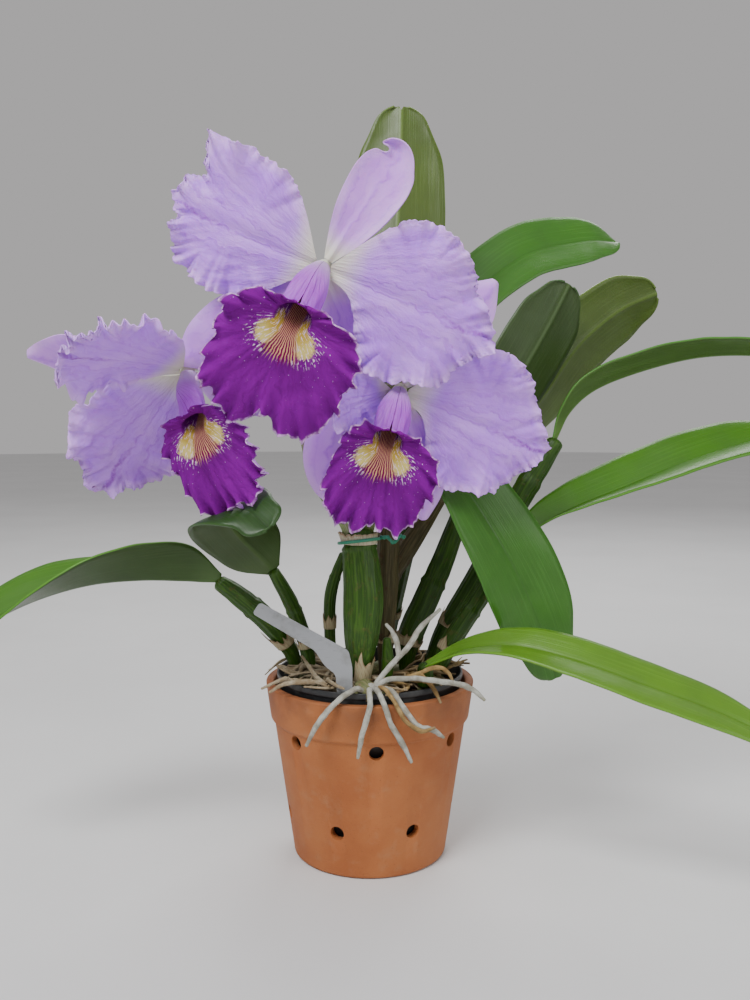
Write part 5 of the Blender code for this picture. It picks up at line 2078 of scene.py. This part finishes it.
@dataclass
class Stems:
    """The creeping stem, and the flower stalk with its three branches."""

    rhizome_radius: float = 5.0
    rhizome_height: float = 98.7
    rhizome_sides: int = 28
    stalk_radius: float = 2.3
    stalk_sides: int = 24
    node_place: float = 0.45  # where the stalk's ring is, as a share of its length
    branch_radius: float = 1.7
    branch_rings: int = 90
    seat_radius: float = 3.55
    seat_steps: tuple[float, ...] = (12, 6, -1)  # behind the flower's centre
    runs: tuple[tuple[tuple[float, float], ...], ...] = (
        ((-43, 5), (-34, -4), (-22, 0), (-13, -16), (-5, -33), (-2, -46.2)),
        ((-5, -33), (10, -7), (21, 7), (35, 13), (38, -8), (31, -26)),
        ((21, 7), (9, 27), (-7, 15)),
        ((-5, -33), (2, -34), (9, -33)),
    )
    knob: tuple[Point, ...] = ((-5, -38, 101), (-4, -43, 105.5), (-1, -47.5, 105.5), (1, -50.8, 103.5))
    knob_radii: tuple[float, ...] = (4.0, 5.2, 5.4, 4.0)
    stalk: tuple[Point, ...] = (
        (-11.5, -32, 187.6), (-15, -32.5, 195.5), (-22.5, -35, 206), (-30, -40, 221), (-35, -46, 245)
    )
    # One branch for each flower, in the order of FLOWERS.
    branches: tuple[tuple[Point, ...], ...] = (
        ((-35, -46, 243), (-37, -50, 262), (-37, -54, 280), (-33, -62, 300), (-27, -72, 315)),
        ((-35, -46, 245), (-24, -47, 256), (-8, -47, 264), (5, -50, 267)),
        ((-35, -46, 245), (-50, -40, 266), (-70, -34, 286), (-88, -38, 292)),
    )

    def lumps(self, steps: np.ndarray, scale: float, seed: int) -> np.ndarray:
        """Random values round and along a creeping stem."""
        turns = even_turns(self.rhizome_sides)
        return drift(spots(np.cos(turns), np.sin(turns), steps[:, None]) * scale, seed)

    def creeping(self) -> Mesh:
        """The creeping stem, ringed with old scars, and the knob that it ends in.

        Returns:
            The mesh, in metres.
        """
        share = np.linspace(0, 1, 30)
        knob, radii = along(self.knob, share), along(self.knob_radii, share)
        meshes = [tube_mesh("knob", knob, radii, self.rhizome_sides, 0.22 * self.lumps(share * 4, 1.5, 21))]
        for seed, run in enumerate(self.runs):
            points = [(x, y, self.rhizome_height) for x, y in run]
            share = np.linspace(0, 1, 26 * len(run))
            walked = share * 20 * len(run)
            swell = 0.97 + 0.05 * np.sin(walked * 0.9) + 0.05 * drift_line(walked / 5, seed)
            lumps = 0.06 * self.lumps(walked / 6, 1.7, seed + 3)
            radii = self.rhizome_radius * swell
            meshes.append(tube_mesh("run", along(points, share), radii, self.rhizome_sides, lumps))
        return joined_mesh("rhizome", meshes)

    def flowering(self) -> Mesh:
        """The flower stalk and its branches.

        Returns:
            The mesh, in metres.
        """
        share = np.linspace(0, 1, 50)
        radii = self.stalk_radius * (1 + 0.14 * hump(share - self.node_place, 0.03))
        meshes = [tube_mesh("stalk", along(self.stalk, share), radii, self.stalk_sides)]
        share = np.linspace(0, 1, self.branch_rings)
        turns = even_turns(self.stalk_sides)
        ribs = 0.07 * np.cos(6 * turns)[None, :] * smooth_step(0.1, 0.7, share)[:, None]
        for shape, route in zip(FLOWERS, self.branches):
            at = shape.frame()
            points = [*route, *(at.centre - at.facing * back for back in self.seat_steps)]
            sizes = [self.branch_radius] * len(route) + [self.stalk_radius] + [self.seat_radius] * 2
            tube = tube_mesh("branch", along(points, share), along(sizes, share), self.stalk_sides, ribs)
            meshes.append(tube)
        return joined_mesh("flower_stalk", meshes)

    def build(self, effects: Effects) -> None:
        """Makes, dresses and places the stems."""
        bare = StemFinish(
            "rhizome_green", (0.11, 0.13, 0.045), (0.2, 0.19, 0.09), (0.2, 0.12, 0.06), 0.7, 0.6
        )
        green = StemFinish(
            "stalk_green", (0.17, 0.24, 0.07), (0.32, 0.33, 0.2), (0.36, 0.2, 0.36), 0.45, 0.42,
            seat=(0.62, 0.6, 0.48),
        )
        place_piece("rhizome_piece", self.creeping(), [bare.dress(effects)], "rhizome")
        place_piece("flower_stalk_piece", self.flowering(), [green.dress(effects)], "flower_stalk")


@dataclass
class Roots:
    """The white air roots and the dry brown ones."""

    root_radius: float = 1.5
    dry_radius: float = 1.2
    tip_share: float = 0.55
    sides: int = 12
    tangle_sides: int = 8
    tangle_count: int = 34
    rim_reach: float = 50.0  # from here outwards the tangle lies over the rim
    drop_reach: float = 58.0  # and from here it hangs
    rim_height: float = 107.5
    crown: tuple[Point, ...] = ((-1, -45.2, 105.6), (0, -47.4, 107.2), (1, -49.6, 108.8))
    crown_radii: tuple[float, ...] = (3.4, 3.2, 2.4)
    white: tuple[tuple[Point, ...], ...] = (
        ((1, -49, 106), (6, -46, 113), (14, -45, 122), (22, -45, 131), (27, -43, 139), (38, -41, 149)),
        ((2, -48, 107), (10, -47, 112), (26, -49, 113), (43, -53, 112), (53, -56, 110), (60, -61, 105)),
        ((2, -50, 107), (4, -54, 108.6), (8, -62, 102), (12, -64, 92), (18, -62.5, 81), (22, -61.5, 72)),
        ((0, -50, 107), (0, -56, 108.4), (0, -62.6, 101), (-4, -62.5, 86), (-6, -61, 74)),
        ((-2, -49, 106), (-8, -54, 108.6), (-19, -60.5, 102), (-27, -61, 92), (-33, -59, 80)),
        ((2, -49, 107), (11, -55, 108.6), (18, -61.6, 101), (25, -62.5, 92), (33, -61, 89), (39, -57.5, 84)),
        ((16, -45, 124), (14, -42.5, 134), (9, -42, 141)),
    )
    dry_left: tuple[tuple[Point, ...], ...] = (
        ((-8.2, -40.8, 99.5), (-20, -43, 106), (-30, -41, 109.5), (-42, -37, 109), (-47, -39, 110),
         (-58, -43, 106)),
        ((-30, -41, 109), (-45, -44, 109), (-53, -50, 106)),
        ((-20, -43, 106), (-27, -37, 109), (-33, -27, 113), (-38, -16, 117)),
    )
    dry_right: tuple[tuple[Point, ...], ...] = (
        ((11, -41, 104), (17, -41, 110), (27, -41, 114), (36, -40, 117), (42, -42, 115), (45, -45, 110)),
        ((27, -41, 114), (34, -45, 107), (38, -49, 100)),
        ((3, -50, 107.5), (8, -56, 109.5), (14, -63.6, 103), (19, -64.6, 95), (27, -65.4, 90),
         (34, -63.2, 91)),
    )

    def root(self, route: tuple[Point, ...], radius: float, seed: int, sides: int) -> Mesh:
        """One root: slightly knotted, and thinner at its tip.

        Args:
            route: Points on its centre line.
            radius: Its radius.
            seed: Which random knots it gets.
            sides: How many faces go round it.

        Returns:
            The mesh, in metres.
        """
        length = length_of(route)
        share = np.linspace(0, 1, max(18, int(length * sides / 11)))
        walked = share * length
        sway = spots(*(drift_line(walked / 5, seed + step) for step in range(3)))
        points = along(route, share) + sway * 0.5 * np.sin(math.pi * share)[:, None]
        radii = along([radius] * (len(route) - 1) + [radius * self.tip_share], share)
        radii = radii * (1 + 0.16 * drift_line(walked / 3.2, seed + 4))
        return tube_mesh("root", points, radii, sides)

    def tangle(self, side: int) -> list[Mesh]:
        """Thin dry roots that lie over the bark and the rim, drawn by a seeded rule.

        Args:
            side: -1 for the left half and 1 for the right.

        Returns:
            Their meshes.
        """
        draw = random.Random(31 + side)
        meshes = []
        for index in range(self.tangle_count):
            turn = math.radians(-90 + side * draw.uniform(-8, 150))
            reach, height = draw.uniform(8, 26), draw.uniform(98, 103)
            end = draw.uniform(40, 61)
            points = []
            for step in range(6):
                share = step / 5
                away = reach + (end - reach) * share
                lift = 5.5 * math.sin(math.pi * share) + draw.uniform(-1.5, 1.5)
                over_rim = self.rim_height + draw.uniform(0, 2.5) if away > self.rim_reach else 0.0
                rise = max(height + (106 - height) * share + lift, over_rim)
                if away > self.drop_reach:
                    rise -= draw.uniform(1, 6)
                points.append((away * math.cos(turn), away * math.sin(turn), rise))
                turn += draw.uniform(-0.28, 0.28)
            radius = draw.uniform(0.45, 1.15)
            meshes.append(self.root(tuple(points), radius, 200 + index * 3 + side, self.tangle_sides))
        return meshes

    def bundle(self, routes: tuple[tuple[Point, ...], ...], radius: float, seed: int) -> list[Mesh]:
        """The meshes of several roots."""
        return [self.root(route, radius, seed + 7 * index, self.sides) for index, route in enumerate(routes)]

    def build(self, effects: Effects) -> None:
        """Makes, dresses and places the roots."""
        pale = RootFinish("root_velamen", (0.46, 0.465, 0.41), (0.21, 0.19, 0.14), (0.34, 0.36, 0.2))
        dry = RootFinish("root_dry", (0.40, 0.27, 0.11), (0.14, 0.08, 0.03), (0.30, 0.23, 0.14))
        faded = RootFinish("root_faded", (0.43, 0.37, 0.26), (0.20, 0.13, 0.06), (0.34, 0.27, 0.17))
        share = np.linspace(0, 1, 14)
        crown = tube_mesh("crown", along(self.crown, share), along(self.crown_radii, share), 20)
        left = self.bundle(self.dry_left, self.dry_radius, 60) + self.tangle(-1)
        right = self.bundle(self.dry_right, self.dry_radius, 90) + self.tangle(1)
        sets = (
            ("white_roots", [crown, *self.bundle(self.white, self.root_radius, 11)], pale, "live_root"),
            ("dry_roots_left", left, faded, "dry_root"),
            ("dry_roots_right", right, dry, "dry_root"),
        )
        for node, meshes, finish, slot in sets:
            place_piece(node + "_piece", joined_mesh(node, meshes), [finish.dress(effects)], node)


@dataclass
class Trimmings:
    """The wire tie, the papery collar under it, and the blank label."""

    tie_radius: float = 11.0
    tie_wire: float = 0.9
    tie_place: float = 0.97
    tie_steps: int = 25
    closed_share: float = 0.96
    wire_rings: int = 180
    twist_rings: int = 90
    twists: int = 4
    twist_share: float = 0.55  # the second wire's radius against the first's
    tail: tuple[Point, ...] = ((4, -1, 1), (8, -1, -2), (11, 0, 1), (14, 0, 1))
    sheath_heights: tuple[float, float] = (183.2, 189.4)
    sheath_radius: float = 9.2
    sheath_rows: int = 26
    sheath_columns: int = 140
    sheath_thickness: float = 0.5
    label_outline: tuple[tuple[float, float], ...] = (
        (-58, 154), (-11, 128), (-9, 119), (-9, 101), (-17, 101), (-18, 115), (-24, 120), (-29, 128),
        (-62, 148),
    )
    label_y: float = -47.6
    label_thickness: float = 1.0
    label_corner: float = 1.8
    label_edge: float = 0.2

    def tie(self) -> Mesh:
        """The wire's open ring and its tail, with a second wire twisted round the tail.

        Returns:
            The mesh, in metres.
        """
        points = np.array(BULBS[0].points, float)
        rise = unit(points[-1] - points[-2])
        side = unit(np.cross((1.0, 0.0, 0.0), rise))
        front = np.cross(rise, side)
        turns = even_turns(self.tie_steps) * self.closed_share
        around = front * np.cos(turns)[:, None] + side * np.sin(turns)[:, None]
        ring = along(points, self.tie_place) + around * self.tie_radius
        tail = ring[0] + np.array(self.tail)
        main = along(np.concatenate([tail[::-1], ring]), np.linspace(0, 1, self.wire_rings))
        share = np.linspace(0, 1, self.twist_rings)
        twist = share * math.tau * self.twists
        core = along(np.concatenate([[ring[0]], tail]), share)
        core = core + spots(0 * twist, np.cos(twist), np.sin(twist))
        thin = self.tie_wire * self.twist_share
        return joined_mesh("wire_tie", [
            tube_mesh("wire", main, np.full(self.wire_rings, self.tie_wire), 12),
            tube_mesh("twist", core, np.full(self.twist_rings, thin), 10),
        ])

    def sheath(self) -> Mesh:
        """The papery collar, with a torn upper edge that flares here and there.

        Returns:
            The mesh, in metres.
        """
        low, high = self.sheath_heights
        turns = np.linspace(0, math.tau, self.sheath_columns)
        ragged = 1.6 * drift_line(np.cos(turns) * 3 + turns, 4) + 1.0 * drift_line(turns * 9, 5)
        ragged = ragged * np.sin(turns / 2) ** 0.3
        share = np.linspace(0, 1, self.sheath_rows)[:, None]
        height = low + (high - low + np.minimum(ragged, 0.0) - 0.3)[None, :] * share
        start, end = np.array(BULBS[0].points[-2:], float)
        step = (height - start[2]) / (end[2] - start[2])
        creases = 0.22 * np.cos(turns * 16 + 2 * drift_line(turns, 8))
        flare = 1.1 * share ** 2 * (1 + 0.6 * drift_line(turns * 2, 9))[None, :]
        reach = self.sheath_radius + 0.35 + flare + creases[None, :] * (0.4 + 0.6 * share)
        x = start[0] + (end[0] - start[0]) * step + reach * np.cos(turns)[None, :]
        y = start[1] + (end[1] - start[1]) * step + reach * np.sin(turns)[None, :]
        flat = spots(turns[None, :] * self.sheath_radius, height - low, 0 * height)
        edge = (1 - share) * (high - low) + 0 * turns[None, :]
        return grid_mesh("bulb_sheath", spots(x, y, height), {"flat": flat, "edge": edge})

    def label(self) -> Mesh:
        """The blank plastic label, with softened corners.

        Returns:
            The mesh, in metres.
        """
        work = bmesh.new()
        front_y = (self.label_y - self.label_thickness / 2) * MM
        face = work.faces.new([work.verts.new((x * MM, front_y, z * MM)) for x, z in self.label_outline])
        pushed = bmesh.ops.extrude_face_region(work, geom=[face])
        moved = [item for item in pushed["geom"] if isinstance(item, bmesh.types.BMVert)]
        bmesh.ops.translate(work, verts=moved, vec=(0, self.label_thickness * MM, 0))
        bmesh.ops.recalc_face_normals(work, faces=work.faces)
        deep = self.label_thickness * MM / 2
        across = [edge for edge in work.edges if abs(edge.verts[0].co.y - edge.verts[1].co.y) > deep]
        bmesh.ops.bevel(
            work, geom=across, offset=self.label_corner * MM, segments=5, affect="EDGES", profile=0.5
        )
        return made_mesh(work, "plant_label")

    def build(self, effects: Effects) -> None:
        """Makes, dresses and places the small pieces."""
        wire = MouldedFinish("tie_green", (0.02, 0.20, 0.11), (0.08, 0.26, 0.16), 0.42, 0.3).dress(effects)
        paper = PaperFinish("sheath_paper").dress(effects)
        # The white label's body colour is dimmed to grey: painted shade for the shadow that it lies in.
        white = MouldedFinish(
            "white_label_plastic_painted_shade", (0.30, 0.31, 0.325), (0.15, 0.15, 0.13), 0.38, 0.6
        ).dress(effects)
        place_piece("wire_tie_piece", self.tie(), [wire], "wire_tie")
        sheath = place_piece("bulb_sheath_piece", self.sheath(), [paper], "bulb_sheath")
        thicken(sheath, self.sheath_thickness)
        label = place_piece("plant_label_piece", self.label(), [white], "plant_label")
        soften_edges(label, self.label_edge)


@dataclass
class Studio:
    """The floor, the lights and the camera."""

    floor_radius: float = 6.0  # metres
    floor_depth: float = 0.3  # below the pot's base, in millimetres
    sky: Colour = (0.82, 0.8, 0.8)
    sky_strength: float = 0.55
    aim: Point = (0, 0, 0.22)
    lights: tuple[tuple[str, Point, float, float], ...] = (  # name, place, size and power
        ("key", (-0.55, -1.0, 1.45), 0.7, 27.0),
        ("fill", (1.1, -0.9, 0.75), 1.0, 7.0),
        ("back", (0.3, 1.1, 1.3), 0.9, 12.0),
    )
    eye: Point = (3.0, -570.0, 254.0)
    dip: float = 5.0  # degrees below level
    focal_length: float = 36.0
    sensor: float = 36.0

    def build(self, effects: Effects) -> None:
        """Adds the floor, three soft lights, an even sky and the camera."""
        work = bmesh.new()
        bmesh.ops.create_circle(work, cap_ends=True, cap_tris=True, segments=128, radius=self.floor_radius)
        mesh = made_mesh(work, "studio_floor")
        mesh.materials.append(FloorFinish().dress(effects))
        floor = self.stand("studio_floor", mesh, (0, 0, -self.floor_depth * MM))
        for name, place, size, power in self.lights:
            lamp = bpy.data.lights.new(name, "AREA")
            lamp.size = size
            lamp.energy = power
            thing = self.stand(name, lamp, place)
            thing.rotation_euler = (Vector(self.aim) - Vector(place)).to_track_quat("-Z", "Y").to_euler()
        world = bpy.data.worlds.new("studio_sky")
        world.use_nodes = True
        light = world.node_tree.nodes["Background"].inputs
        light["Color"].default_value = (*self.sky, 1)
        light["Strength"].default_value = self.sky_strength
        bpy.context.scene.world = world
        self.camera()

    @staticmethod
    def stand(name: str, data: bpy.types.ID, place: Point) -> Piece:
        """An object at a place in metres.

        Args:
            name: The object's name.
            data: Its mesh, light or camera.
            place: The place.

        Returns:
            The object.
        """
        thing = bpy.data.objects.new(name, data)
        thing.location = place
        bpy.context.scene.collection.objects.link(thing)
        return thing

    def camera(self) -> None:
        """The camera, where the photograph was taken from."""
        data = bpy.data.cameras.new("camera")
        data.lens = self.focal_length
        data.sensor_fit = "AUTO"
        data.sensor_width = self.sensor
        data.clip_start = 0.01
        thing = self.stand("camera", data, Vector(self.eye) * MM)
        thing.rotation_euler = (math.radians(90 - self.dip), 0, 0)
        bpy.context.scene.camera = thing


def main() -> None:
    """Builds and dresses every piece, then the studio round them."""
    logging.basicConfig(level=logging.INFO, format="%(message)s")
    effects = Effects()
    pots = Pots()
    pots.build(effects)
    Bark().build(effects, pots)
    for group in (Stems, Bulbs, Leaves, Flowers, Roots, Trimmings, Studio):
        group().build(effects)
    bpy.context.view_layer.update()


if __name__ == "__main__":
    main()
